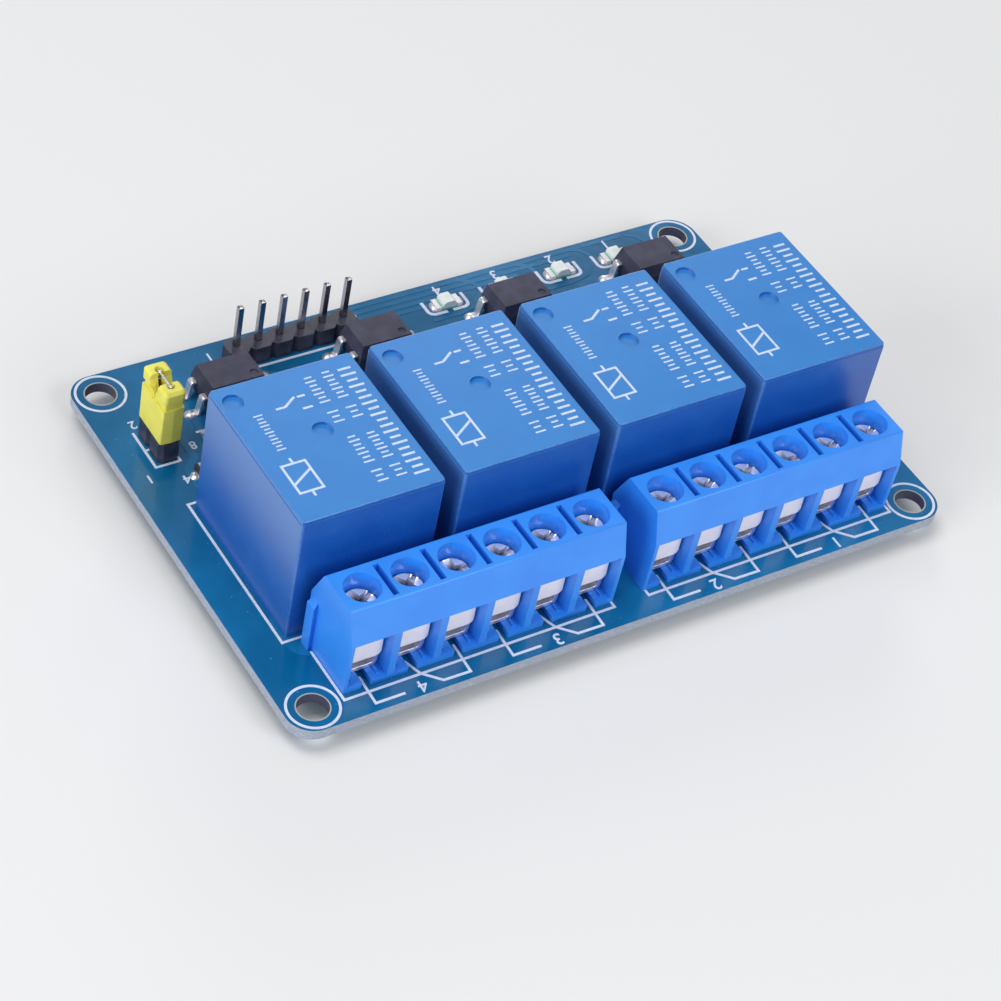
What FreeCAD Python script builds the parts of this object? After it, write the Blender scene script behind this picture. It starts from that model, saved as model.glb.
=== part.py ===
import FreeCAD, Part
import math
import os

from FreeCAD import Vector

# Four channel relay module on one printed board.
# X runs along the board's long side, Y from the screw terminals to the pin header, Z up.
# The origin is the centre of the board's outline, at the height of the trimmed pin tips.

# Board
board_length = 77.2
board_width = 51.2
board_thickness = 1.2
board_corner_radius = 2.8
mounting_inset_x = 3.0
mounting_inset_y = 2.85
mounting_hole_radius = 1.6
pin_stub = 2.0
board_top = pin_stub + board_thickness
board_front_y = -board_width / 2
board_back_y = board_width / 2

# Plated holes and solder
hole_clearance = 0.12
solder_land_width = 0.42
solder_height = 1.1
solder_neck_width = 0.08

# Terminal blocks
pole_pitch = 5.08
poles_per_block = 6
block_gap = 3.62
block_count = 2
screw_setback = 6.47
screw_axis_y = board_front_y + screw_setback
block_height = 10.3
block_back_reach = 4.33
block_front_reach = 3.37
band_front_reach = 3.52
block_back_y = screw_axis_y + block_back_reach
block_front_y = screw_axis_y - block_front_reach
band_front_y = screw_axis_y - band_front_reach
band_bottom_z = 6.5
block_shoulder_z = 6.7
block_top_front_reach = 2.42
block_top_back_reach = 2.63
block_top_front_y = screw_axis_y - block_top_front_reach
block_top_back_y = screw_axis_y + block_top_back_reach
block_edge_radius = 0.2
partition_thickness = 0.8
block_back_wall = 1.0
foot_thickness = 0.65
foot_gap = 0.98
foot_mouth_chamfer = 0.1
foot_ridge_width = 0.25
foot_ridge_height = 0.22
foot_ridge_length = 0.9
foot_ridge_setback = 0.55
foot_ridge_inset = 0.75
screw_hole_radius = 1.84
slit_width = 0.66
slit_length = 4.1
slit_depth = 2.5
slit_front_setback = 0.42
dovetail_width = 1.3
dovetail_flare = 0.25
dovetail_depth = 0.5
dovetail_height = 6.2
dovetail_setback = 0.3
dovetail_clearance = 0.12
dovetail_root = 0.2
dovetail_mouth = 0.5

# Clamp bodies, wire guards and screws of the terminals
clamp_width = 3.8
clamp_wall = 0.5
clamp_top_wall = 1.0
clamp_height = 5.6
clamp_corner_radius = 0.8
clamp_front_reach = 1.82
clamp_back_reach = 2.73
clamp_front_y = screw_axis_y - clamp_front_reach
clamp_back_y = screw_axis_y + clamp_back_reach
clamp_floor_gap = 0.05
solder_pin_width = 0.8
solder_pin_depth = 1.0
guard_thickness = 0.25
guard_gap = 0.08
guard_bottom_z = 2.5
guard_overlap_above_port = 0.2
guard_corner_radius = 0.6
guard_side_clearance = 0.1
guard_back_reach = 1.83
guard_back_y = screw_axis_y + guard_back_reach
guard_pocket_clearance = 0.12
screw_lift = 1.8
screw_shank_radius = 1.25
screw_thread_clearance = 0.05
screw_head_radius = 1.75
screw_head_height = 1.6
screw_head_depth = 1.8
screw_head_edge = 0.25
screw_cross_width = 0.85
screw_cross_length = 2.9
screw_cross_floor = 0.7
screw_cross_depth = 1.2
screw_slot_width = 0.5
screw_slot_depth = 0.4
screw_turn_step = 11
screw_tip_gap = 0.03
screw_tip_chamfer = 0.3

# Relays
relay_count = 4
relay_length = 19.0
relay_width = 15.4
relay_height = 15.5
relay_gap = 2.1
relay_pitch = relay_width + relay_gap
relay_terminal_gap = 0.71
relay_centre_y = block_back_y + relay_terminal_gap + relay_length / 2
relay_back_y = relay_centre_y + relay_length / 2
relay_wall = 0.8
relay_corner_radius = 0.3
relay_top_radius = 0.15
relay_lid_height = 0.45
relay_lid_inset = 0.06
relay_mark_radius = 1.05
relay_mark_depth = 0.3
relay_mark_inset_x = 1.5
relay_mark_inset_y = 2.3
relay_mark_gate_y = 0.75
relay_base_recess = 0.4
relay_base_thickness = 1.8
relay_base_clearance = 0.05
relay_base_half_x = relay_width / 2 - relay_wall - relay_base_clearance
relay_base_half_y = relay_length / 2 - relay_wall - relay_base_clearance
relay_tower_thickness = 1.3
relay_tower_top = 10.5
relay_pin_width = 1.0
relay_pin_thickness = 0.4
relay_pin_inset_x = 1.7
relay_pin_side = relay_width / 2 - relay_pin_inset_x
relay_pin_end = relay_base_half_y - relay_tower_thickness - relay_base_clearance - relay_pin_thickness / 2
relay_coil_pin_width = 0.6
relay_coil_pin_inset = 3.6
relay_coil_pin_y = relay_base_half_y - relay_coil_pin_inset
yoke_width = 8.8
yoke_thickness = 1.0
yoke_inset = 1.8
yoke_back_y = relay_base_half_y - yoke_inset
yoke_front_reach = 3.4
pole_top = 11.3
pole_head_radius = 3.0
pole_head_height = 0.6
core_radius = 2.0
bobbin_wall = 0.6
bobbin_flange = 0.7
bobbin_pin_gap = 0.9
bobbin_half_width = relay_pin_side - relay_coil_pin_width / 2 - bobbin_pin_gap
winding_inset = 0.4
winding_radius = bobbin_half_width - winding_inset
winding_yoke_gap = 0.7
core_centre_y = yoke_back_y - yoke_thickness - winding_yoke_gap - winding_radius
armature_gap_degrees = 3.5
armature_thickness = 0.9
armature_overhang = 0.6
armature_seat_gap = 0.05
blade_width = 3.0
blade_thickness = 0.2
blade_tail_height = 1.9
blade_tail_gap = 0.2
rivet_radius = 0.6
rivet_height = 0.25
rivet_places = (0.7, 3.2)
contact_radius = 0.9
contact_height = 0.3
contact_gap = 0.03
contact_inset = 1.15
contact_y = contact_inset - relay_pin_end
contact_strip_thickness = 0.25
contact_strip_width = 1.6

# Optical couplers
coupler_offset_x = 2.6
coupler_setback = 7.75
coupler_centre_y = board_back_y - coupler_setback
coupler_width = 6.5
coupler_depth = 4.5
coupler_draft = 0.33
coupler_bottom_z = 0.2
coupler_parting_z = 2.1
coupler_top_z = 3.6
coupler_mark_radius = 0.45
coupler_mark_depth = 0.15
coupler_mark_inset = 1.1
lead_pitch = 2.54
lead_width = 0.9
lead_thickness = 0.25
lead_shoulder = 0.6
lead_lean = 0.35
lead_foot = 0.65
lead_bend_radius = 0.3

# Small surface parts
led_first_x = 5.05
led_pitch = 7.35
led_setback = 3.65
led_y = board_back_y - led_setback
led_length = 3.2
led_width = 1.6
led_base_height = 0.5
led_lens_length = 1.6
led_lens_height = 0.6
led_lens_chamfer = 0.3
resistor_length = 2.0
resistor_width = 1.25
resistor_height = 0.5
resistor_offsets = (-4.6, -1.0)
resistor_coupler_gap = 2.0
resistor_y = coupler_centre_y - coupler_depth / 2 - resistor_coupler_gap - resistor_length / 2
diode_length = 2.7
diode_width = 1.6
diode_height = 1.1
diode_offset_x = -4.2
diode_relay_gap = 2.79
diode_y = relay_back_y + diode_relay_gap + diode_width / 2
transistor_length = 2.9
transistor_width = 1.3
transistor_height = 1.0
transistor_leg_width = 0.4
transistor_leg_reach = 0.55
transistor_leg_thickness = 0.15
transistor_leg_pitch = 1.9
transistor_offset_x = 4.4
transistor_relay_gap = 3.34
transistor_y = relay_back_y + transistor_relay_gap + transistor_width / 2

# Headers
header_pitch = 2.54
header_pin_width = 0.6
header_pin_point = 0.16
input_pin_count = 6
input_centre_x = -14.1
input_setback = 3.4
input_body_y = board_back_y - input_setback
input_pin_offset_y = 0.25
input_body_depth = 2.4
input_body_height = 2.1
input_pin_top_z = 7.4
header_cell_notch = 0.45
jumper_pin_count = 2
jumper_relay_reach = 7.25
jumper_setback = 11.75
jumper_x = -relay_pitch * (relay_count - 1) / 2 - jumper_relay_reach
jumper_y = board_back_y - jumper_setback
jumper_body_width = 2.4
jumper_body_height = 2.5
jumper_pin_top_z = 8.4
cap_width = 2.4
cap_end_gap = 0.08
cap_length = jumper_pin_count * header_pitch - cap_end_gap
cap_seat_gap = 0.1
cap_body_height = 4.4
cap_edge_radius = 0.2
cap_wall = 0.5
cap_end_ridge = 0.12
cap_neck_height = 0.6
cap_neck_inset = 0.25
cap_head_height = 1.7
cap_head_corner = 0.45
cap_head_chamfer = 0.3
cap_notch_width = 1.7
cap_notch_straight = 0.7
cap_notch_dip = 0.15
cap_throat_width = 1.2
cap_throat_depth = 0.8
cap_post_hole_radius = 0.48
cap_slot_width = 0.6
clip_thickness = 0.2
clip_bar_low = 0.8
clip_bar_top = 0.2
clip_bar_reach = 1.4
clip_lug_width = 0.42
clip_stem_half = 0.7
clip_pin_clearance = 0.06
clip_bottom_gap = 0.8
clip_height = 3.6
clip_web_height = 1.0
clip_length = 3.6


def box(low, high):
    """Block between two opposite corners."""
    size = Vector(*high) - Vector(*low)
    return Part.makeBox(size.x, size.y, size.z, Vector(*low))


def rod(x, y, low_z, high_z, radius):
    """Upright round bar."""
    return Part.makeCylinder(radius, high_z - low_z, Vector(x, y, low_z))


def prism(points, direction):
    """Straight sided solid on a closed outline."""
    wire = Part.makePolygon([Vector(*point) for point in points] + [Vector(*points[0])])
    return Part.Face(wire).extrude(Vector(*direction))


def joined(shapes):
    """One solid made of pieces that touch or overlap."""
    whole = shapes[0]
    if len(shapes) > 1:
        whole = whole.fuse(list(shapes[1:]))
    return whole.removeSplitter()


def save(name, solids):
    """Write one named piece, or a group of like pieces."""
    shape = solids[0] if len(solids) == 1 else Part.makeCompound(solids)
    shape.exportStep("parts/" + name + ".step")


def edges_along(shape, axis, keep):
    """Straight edges along one axis whose middle passes a test."""
    found = []
    for edge in shape.Edges:
        ends = [vertex.Point for vertex in edge.Vertexes]
        if len(ends) != 2 or not isinstance(edge.Curve, Part.Line):
            continue
        if abs((ends[1] - ends[0]).normalize().dot(Vector(*axis))) > 0.999:
            if keep((ends[0] + ends[1]) * 0.5):
                found.append(edge)
    return found


def pointed_pin(x, y, low_z, high_z, width, depth, point):
    """Square pin with both ends chamfered."""
    pin = box((x - width / 2, y - depth / 2, low_z), (x + width / 2, y + depth / 2, high_z))
    ends = [edge for edge in pin.Edges if abs(edge.Vertexes[0].Z - edge.Vertexes[1].Z) < 1e-6]
    return pin.makeChamfer(point, ends)


# Places of the pieces on the board
block_length = pole_pitch * poles_per_block
block_span = block_count * block_length + (block_count - 1) * block_gap
block_centres = [
    -block_span / 2 + block_length / 2 + index * (block_length + block_gap) for index in range(block_count)
]


def pole_xs(block_x):
    """Screw axes of one terminal block."""
    first = block_x - block_length / 2 + pole_pitch / 2
    return [first + index * pole_pitch for index in range(poles_per_block)]


terminal_xs = [x for block_x in block_centres for x in pole_xs(block_x)]
relay_xs = [(index - (relay_count - 1) / 2) * relay_pitch for index in range(relay_count)]
input_pin_xs = [
    input_centre_x + (index - (input_pin_count - 1) / 2) * header_pitch for index in range(input_pin_count)
]
jumper_pin_ys = [
    jumper_y + (index - (jumper_pin_count - 1) / 2) * header_pitch for index in range(jumper_pin_count)
]
input_pin_y = input_body_y + input_pin_offset_y


def relay_pin_places(relay_x):
    """Name, middle, width and depth of each pin under one relay."""
    back = relay_centre_y + yoke_back_y + relay_pin_thickness / 2
    front = relay_centre_y - relay_pin_end
    coil = relay_centre_y + relay_coil_pin_y
    places = [
        ("common", relay_x, back, relay_pin_width, relay_pin_thickness),
        ("open", relay_x + relay_pin_side, front, relay_pin_width, relay_pin_thickness),
        ("closed", relay_x - relay_pin_side, front, relay_pin_width, relay_pin_thickness),
        ("coil_left", relay_x - relay_pin_side, coil, relay_coil_pin_width, relay_coil_pin_width),
        ("coil_right", relay_x + relay_pin_side, coil, relay_coil_pin_width, relay_coil_pin_width),
    ]
    return places


def soldered_pins():
    """Middle, width and depth of every pin that passes through the board."""
    pins = [(x, screw_axis_y, solder_pin_width, solder_pin_depth) for x in terminal_xs]
    for relay_x in relay_xs:
        pins += [place[1:] for place in relay_pin_places(relay_x)]
    pins += [(x, input_pin_y, header_pin_width, header_pin_width) for x in input_pin_xs]
    pins += [(jumper_x, y, header_pin_width, header_pin_width) for y in jumper_pin_ys]
    return pins


def plated_hole_radius(width, depth):
    """Drilled hole that clears a pin's corners."""
    return math.hypot(width, depth) / 2 + hole_clearance


def make_board():
    """Printed board with rounded corners, four fixing holes and a hole for every pin."""
    half_x = board_length / 2
    half_y = board_width / 2
    board = box((-half_x, -half_y, pin_stub), (half_x, half_y, board_top))
    board = board.makeFillet(board_corner_radius, edges_along(board, (0, 0, 1), lambda middle: True))
    drills = []
    for side_x in (-1, 1):
        for side_y in (-1, 1):
            x = side_x * (half_x - mounting_inset_x)
            y = side_y * (half_y - mounting_inset_y)
            drills.append(rod(x, y, pin_stub - 1, board_top + 1, mounting_hole_radius))
    for x, y, width, depth in soldered_pins():
        drills.append(rod(x, y, pin_stub - 1, board_top + 1, plated_hole_radius(width, depth)))
    return board.cut(drills)


def make_solder_joints():
    """Cone of solder round each pin under the board."""
    joints = []
    for x, y, width, depth in soldered_pins():
        land = plated_hole_radius(width, depth) + solder_land_width
        neck = math.hypot(width, depth) / 2 + solder_neck_width
        cone = Part.makeCone(neck, land, solder_height, Vector(x, y, pin_stub - solder_height))
        pin = box((x - width / 2, y - depth / 2, 0), (x + width / 2, y + depth / 2, board_top))
        joints.append(cone.cut(pin))
    return joints


# Clamp heights that the housing, the guard and the screw share
clamp_bottom = board_top + foot_thickness + clamp_floor_gap
clamp_top = clamp_bottom + clamp_height
port_half = (pole_pitch - partition_thickness) / 2
guard_front_y = clamp_front_y - guard_gap - guard_thickness
guard_bottom = board_top + guard_bottom_z
guard_top = board_top + band_bottom_z + guard_overlap_above_port
head_top = board_top + block_height - screw_head_depth
head_bottom = head_top - screw_head_height


def make_terminal_housing(block_x):
    """Moulded six pole housing: sloped band, wire ports, T feet, screw bores and dovetail."""
    left = block_x - block_length / 2
    right = block_x + block_length / 2
    top = board_top + block_height
    outline = [
        (left, block_back_y, board_top),
        (left, block_back_y, board_top + block_shoulder_z),
        (left, block_top_back_y, top),
        (left, block_top_front_y, top),
        (left, band_front_y, board_top + band_bottom_z),
        (left, block_front_y, board_top),
    ]
    housing = prism(outline, (block_length, 0, 0))
    upper = edges_along(housing, (1, 0, 0), lambda middle: middle.z > board_top + block_shoulder_z - 0.1)
    housing = housing.makeFillet(block_edge_radius, upper)

    back_y = block_back_y - block_back_wall
    chamber_front = guard_front_y - guard_pocket_clearance
    chamber_top = clamp_top + guard_pocket_clearance
    floor = board_top + foot_thickness
    cuts = []
    for x in pole_xs(block_x):
        cuts.append(box((x - port_half, chamber_front, floor), (x + port_half, back_y, chamber_top)))
        port_top = board_top + band_bottom_z
        cuts.append(box((x - port_half, band_front_y - 1, floor), (x + port_half, chamber_front, port_top)))
        pocket_top = guard_top + screw_lift + guard_pocket_clearance
        pocket_back = clamp_front_y + guard_pocket_clearance
        cuts.append(box((x - port_half, chamber_front, floor), (x + port_half, pocket_back, pocket_top)))
        cuts.append(rod(x, screw_axis_y, floor, top + 1, screw_hole_radius))
        slot_half = foot_gap / 2
        mouth_half = slot_half + foot_mouth_chamfer
        slot = [
            (x - slot_half, back_y, board_top - 1),
            (x - slot_half, block_front_y + foot_mouth_chamfer, board_top - 1),
            (x - mouth_half, block_front_y, board_top - 1),
            (x - mouth_half, block_front_y - 1, board_top - 1),
            (x + mouth_half, block_front_y - 1, board_top - 1),
            (x + mouth_half, block_front_y, board_top - 1),
            (x + slot_half, block_front_y + foot_mouth_chamfer, board_top - 1),
            (x + slot_half, back_y, board_top - 1),
        ]
        cuts.append(prism(slot, (0, 0, foot_thickness + 1.1)))
    for x in pole_xs(block_x)[:-1]:
        middle = x + pole_pitch / 2
        front = block_top_front_y + slit_front_setback
        cuts.append(
            box(
                (middle - slit_width / 2, front, top - slit_depth),
                (middle + slit_width / 2, front + slit_length, top + 1),
            )
        )
    cuts.append(dovetail(right, dovetail_clearance))
    housing = housing.cut(cuts)

    ridges = []
    for x in pole_xs(block_x):
        for side in (-1, 1):
            ridge_x = x + side * (port_half - foot_ridge_inset)
            ridge_front = block_front_y + foot_ridge_setback
            ridge_back = ridge_front + foot_ridge_length
            ridges.append(
                box(
                    (ridge_x - foot_ridge_width / 2, ridge_front, floor - foot_thickness / 2),
                    (ridge_x + foot_ridge_width / 2, ridge_back, floor + foot_ridge_height),
                )
            )
    return joined([housing, dovetail(left, 0)] + ridges)


def dovetail(end_x, clearance):
    """Upright dovetail that joins blocks end to end: the rib, or its groove when given a clearance."""
    centre_y = block_back_y - dovetail_setback - dovetail_width / 2
    neck = dovetail_width / 2 - dovetail_flare + clearance
    head = dovetail_width / 2 + clearance
    depth = dovetail_depth + clearance
    root = 0.0 if clearance else dovetail_root
    mouth = dovetail_mouth if clearance else 0.0
    outline = [
        (end_x + root, centre_y - neck, board_top - mouth),
        (end_x + root, centre_y + neck, board_top - mouth),
        (end_x - depth, centre_y + head, board_top - mouth),
        (end_x - depth, centre_y - head, board_top - mouth),
    ]
    rib = prism(outline, (0, 0, dovetail_height + clearance + mouth))
    crown = board_top + dovetail_height + clearance
    bevel = [
        (end_x - 2 * depth, centre_y - dovetail_width, crown - 2 * depth),
        (end_x - 2 * depth, centre_y - dovetail_width, crown + depth),
        (end_x + depth, centre_y - dovetail_width, crown + depth),
    ]
    return rib.cut(prism(bevel, (0, 2 * dovetail_width, 0)))


def make_clamp_body(x):
    """Tinned strip folded into an upright loop, tapped on top, with its solder pin below."""
    left = x - clamp_width / 2
    depth = clamp_back_y - clamp_front_y
    loop = box((left, clamp_front_y, clamp_bottom), (left + clamp_width, clamp_back_y, clamp_top))
    loop = loop.makeFillet(clamp_corner_radius, edges_along(loop, (0, 1, 0), lambda middle: True))
    window = box(
        (left + clamp_wall, clamp_front_y - 1, clamp_bottom + clamp_wall),
        (left + clamp_width - clamp_wall, clamp_front_y + depth + 1, clamp_top - clamp_top_wall),
    )
    inner_radius = clamp_corner_radius - clamp_wall
    window = window.makeFillet(inner_radius, edges_along(window, (0, 1, 0), lambda middle: True))
    tapped = rod(x, screw_axis_y, clamp_top - clamp_top_wall - 1, clamp_top + 1,
                 screw_shank_radius + screw_thread_clearance)
    pin = box(
        (x - solder_pin_width / 2, screw_axis_y - solder_pin_depth / 2, 0),
        (x + solder_pin_width / 2, screw_axis_y + solder_pin_depth / 2, clamp_bottom + clamp_wall / 2),
    )
    return joined([loop.cut([window, tapped]), pin])


def make_wire_guard(x):
    """Leaf under the screw: an upright plate in the port and a foot that the screw presses."""
    back = guard_front_y + guard_thickness
    plate = box((x - clamp_width / 2, guard_front_y, guard_bottom), (x + clamp_width / 2, back, guard_top))
    corners = edges_along(plate, (0, 1, 0), lambda middle: middle.z < guard_bottom + 0.01)
    plate = plate.makeFillet(guard_corner_radius, corners)
    foot_half = clamp_width / 2 - clamp_wall - guard_side_clearance
    foot = box(
        (x - foot_half, guard_front_y + guard_thickness / 2, guard_bottom),
        (x + foot_half, guard_back_y, guard_bottom + guard_thickness),
    )
    return joined([plate, foot])


def make_terminal_screw(x):
    """Clamping screw with a sunk cheese head, a cross recess with sloped wings and a slot."""
    tip = guard_bottom + guard_thickness + screw_tip_gap
    head = rod(x, screw_axis_y, head_bottom, head_top, screw_head_radius)
    rim = [edge for edge in head.Edges if edge.Vertexes[0].Z > head_top - 0.01 and len(edge.Vertexes) == 1]
    head = head.makeChamfer(screw_head_edge, rim)
    shank = rod(x, screw_axis_y, tip, head_bottom + 0.1, screw_shank_radius)
    point = [edge for edge in shank.Edges if edge.Vertexes[0].Z < tip + 0.01 and len(edge.Vertexes) == 1]
    shank = shank.makeChamfer(screw_tip_chamfer, point)
    half = screw_cross_length / 2
    floor_half = screw_cross_floor / 2
    slot = screw_slot_width / 2
    y = screw_axis_y
    wing = [
        (x - half, y - screw_cross_width / 2, head_top),
        (x - half, y - screw_cross_width / 2, head_top + 1),
        (x + half, y - screw_cross_width / 2, head_top + 1),
        (x + half, y - screw_cross_width / 2, head_top),
        (x + floor_half, y - screw_cross_width / 2, head_top - screw_cross_depth),
        (x - floor_half, y - screw_cross_width / 2, head_top - screw_cross_depth),
    ]
    along = prism(wing, (0, screw_cross_width, 0))
    across = prism(wing, (0, screw_cross_width, 0))
    across.rotate(Vector(x, y, 0), Vector(0, 0, 1), 90)
    straight = box(
        (x - screw_head_radius - 1, y - slot, head_top - screw_slot_depth),
        (x + screw_head_radius + 1, y + slot, head_top + 1),
    )
    screw = joined([head, shank]).cut([along, across, straight])
    screw.rotate(Vector(x, y, 0), Vector(0, 0, 1), screw_turn_step * (round(x / pole_pitch) % 4))
    return screw


def make_relay_case(relay_x):
    """Open bottomed cover with a fine step under its lid and two round moulding marks on top."""
    half_x = relay_width / 2
    half_y = relay_length / 2
    y = relay_centre_y
    top = board_top + relay_height
    step = top - relay_lid_height
    skirt = box((relay_x - half_x, y - half_y, board_top), (relay_x + half_x, y + half_y, step))
    skirt = skirt.makeFillet(relay_corner_radius, edges_along(skirt, (0, 0, 1), lambda middle: True))
    half_x -= relay_lid_inset
    half_y -= relay_lid_inset
    lid = box((relay_x - half_x, y - half_y, step), (relay_x + half_x, y + half_y, top))
    lid = lid.makeFillet(relay_corner_radius, edges_along(lid, (0, 0, 1), lambda middle: True))
    rim = [edge for edge in lid.Edges if min(vertex.Z for vertex in edge.Vertexes) > top - 0.01]
    lid = lid.makeFillet(relay_top_radius, rim)
    half_x = relay_width / 2
    half_y = relay_length / 2
    hollow = box(
        (relay_x - half_x + relay_wall, y - half_y + relay_wall, board_top - 1),
        (relay_x + half_x - relay_wall, y + half_y - relay_wall, top - relay_wall),
    )
    marks = [
        rod(relay_x - half_x + relay_mark_inset_x, y + half_y - relay_mark_inset_y, top - relay_mark_depth,
            top + 1, relay_mark_radius),
        rod(relay_x, y + relay_mark_gate_y, top - relay_mark_depth, top + 1, relay_mark_radius),
    ]
    return joined([skirt, lid]).cut([hollow] + marks)


def make_relay_base(relay_x):
    """Base plate with a front tower for the fixed contacts and a slot for each pin."""
    half_x = relay_base_half_x
    half_y = relay_base_half_y
    y = relay_centre_y
    low = board_top + relay_base_recess
    high = low + relay_base_thickness
    plate = box((relay_x - half_x, y - half_y, low), (relay_x + half_x, y + half_y, high))
    tower = box(
        (relay_x - half_x, y - half_y, low),
        (relay_x + half_x, y - half_y + relay_tower_thickness, board_top + relay_tower_top),
    )
    slots = []
    for name, x, pin_y, width, depth in relay_pin_places(relay_x):
        reach_x = width / 2 + relay_base_clearance
        reach_y = depth / 2 + relay_base_clearance
        slots.append(box((x - reach_x, pin_y - reach_y, low - 1), (x + reach_x, pin_y + reach_y, high + 1)))
    return joined([plate, tower]).cut(slots)


def make_relay_magnet(relay_x):
    """Coil on its bobbin, and the yoke with the core riveted in it."""
    y = relay_centre_y
    low = board_top + relay_base_recess + relay_base_thickness
    pole = board_top + pole_top
    back = y + yoke_back_y
    core_y = y + core_centre_y
    half = yoke_width / 2
    leg = box(
        (relay_x - half, core_y - yoke_front_reach, low),
        (relay_x + half, back, low + yoke_thickness),
    )
    upright = box((relay_x - half, back - yoke_thickness, low), (relay_x + half, back, pole))
    core = rod(relay_x, core_y, low, pole, core_radius)
    head = rod(relay_x, core_y, pole - pole_head_height, pole, pole_head_radius)
    iron = joined([leg, upright, core, head])

    bobbin_low = low + yoke_thickness
    bobbin_high = pole - pole_head_height
    hub_radius = core_radius + bobbin_wall
    hub = rod(relay_x, core_y, bobbin_low, bobbin_high, hub_radius)
    reach = bobbin_half_width
    flange_back = back - yoke_thickness - armature_seat_gap
    flanges = []
    for flange_low in (bobbin_low, bobbin_high - bobbin_flange):
        flanges.append(
            box((relay_x - reach, core_y - reach, flange_low),
                (relay_x + reach, flange_back, flange_low + bobbin_flange))
        )
    bobbin = joined([hub] + flanges).cut(rod(relay_x, core_y, bobbin_low - 1, bobbin_high + 1, core_radius))

    winding_low = bobbin_low + bobbin_flange
    winding_high = bobbin_high - bobbin_flange
    winding = rod(relay_x, core_y, winding_low, winding_high, winding_radius)
    winding = winding.cut(rod(relay_x, core_y, winding_low - 1, winding_high + 1, hub_radius))
    return [iron, bobbin, winding]


# Armature heights, given with the armature pulled in
armature_low = board_top + pole_top + armature_seat_gap
armature_high = armature_low + armature_thickness
blade_high = armature_high + blade_thickness
hinge_y = relay_centre_y + yoke_back_y - armature_seat_gap
contact_front = relay_centre_y + contact_y - contact_radius
contact_rise = (hinge_y - contact_front) * math.sin(math.radians(armature_gap_degrees))


def make_relay_armature(relay_x):
    """Clapper with the spring blade riveted on it, lifted off the pole as it rests."""
    y = relay_centre_y
    core_y = y + core_centre_y
    plate = box(
        (relay_x - yoke_width / 2, core_y - pole_head_radius - armature_overhang, armature_low),
        (relay_x + yoke_width / 2, hinge_y, armature_high),
    )
    tail_front = y + yoke_back_y + contact_strip_thickness + blade_tail_gap
    blade = box(
        (relay_x - blade_width / 2, y + contact_y - contact_radius, armature_high),
        (relay_x + blade_width / 2, tail_front + blade_thickness, blade_high),
    )
    tail = box(
        (relay_x - blade_width / 2, tail_front, armature_low - blade_tail_height),
        (relay_x + blade_width / 2, tail_front + blade_thickness, blade_high),
    )
    rivets = [rod(relay_x, core_y + place, armature_high, blade_high + rivet_height, rivet_radius)
              for place in rivet_places]
    button = rod(relay_x, y + contact_y, armature_high - contact_height, blade_high + contact_height,
                 contact_radius)
    armature = joined([plate, blade, tail, button] + rivets)
    armature.rotate(Vector(0, hinge_y, armature_low), Vector(1, 0, 0), -armature_gap_degrees)
    return armature


def make_relay_contacts(relay_x):
    """Common strip up the yoke, the two fixed contacts and the coil pins."""
    y = relay_centre_y
    open_top = armature_high - contact_height - contact_gap
    closed_low = blade_high + contact_height + contact_rise + contact_gap
    strip = contact_strip_thickness
    solids = []
    for name, x, pin_y, width, depth in relay_pin_places(relay_x):
        low_corner = (x - width / 2, pin_y - depth / 2, 0)
        base_top = board_top + relay_base_recess + relay_base_thickness
        if name.startswith("coil"):
            solids.append(box(low_corner, (x + width / 2, pin_y + depth / 2, base_top + 1)))
            continue
        if name == "common":
            pin = box(low_corner, (x + width / 2, pin_y + depth / 2, base_top))
            riser = box(
                (x - blade_width / 2, y + yoke_back_y, base_top),
                (x + blade_width / 2, y + yoke_back_y + strip, armature_low - blade_tail_height / 2),
            )
            solids.append(joined([pin, riser]))
            continue
        side = 1 if name == "open" else -1
        tongue_high = open_top - contact_height if side > 0 else closed_low + contact_height + strip
        button_low = open_top - contact_height if side > 0 else closed_low
        outer = x + side * contact_strip_width / 2
        inner = relay_x - side * contact_radius
        front = pin_y - depth / 2
        pin = box(low_corner, (x + width / 2, pin_y + depth / 2, base_top))
        riser = box(
            (x - contact_strip_width / 2, front, base_top),
            (x + contact_strip_width / 2, front + strip, tongue_high),
        )
        tongue = box(
            (min(inner, outer), front, tongue_high - strip),
            (max(inner, outer), y + contact_y + contact_radius, tongue_high),
        )
        button = rod(relay_x, y + contact_y, button_low, button_low + contact_height, contact_radius)
        solids.append(joined([pin, riser, tongue, button]))
    return solids


def make_coupler_body(x):
    """Moulded package, drafted above and below its parting line, with a pin one mark."""
    sections = []
    levels = ((coupler_bottom_z, coupler_draft), (coupler_parting_z, 0), (coupler_top_z, coupler_draft))
    for z, draft in levels:
        half_x = coupler_width / 2 - draft
        half_y = coupler_depth / 2 - draft
        corners = [(-half_x, -half_y), (half_x, -half_y), (half_x, half_y), (-half_x, half_y)]
        corners.append(corners[0])
        sections.append(
            Part.makePolygon([Vector(x + dx, coupler_centre_y + dy, board_top + z) for dx, dy in corners])
        )
    body = Part.makeLoft(sections, True, True)
    top = board_top + coupler_top_z
    mark_x = x + coupler_width / 2 - coupler_mark_inset
    mark_y = coupler_centre_y - coupler_depth / 2 + coupler_mark_inset
    return body.cut(rod(mark_x, mark_y, top - coupler_mark_depth, top + 1, coupler_mark_radius))


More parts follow.
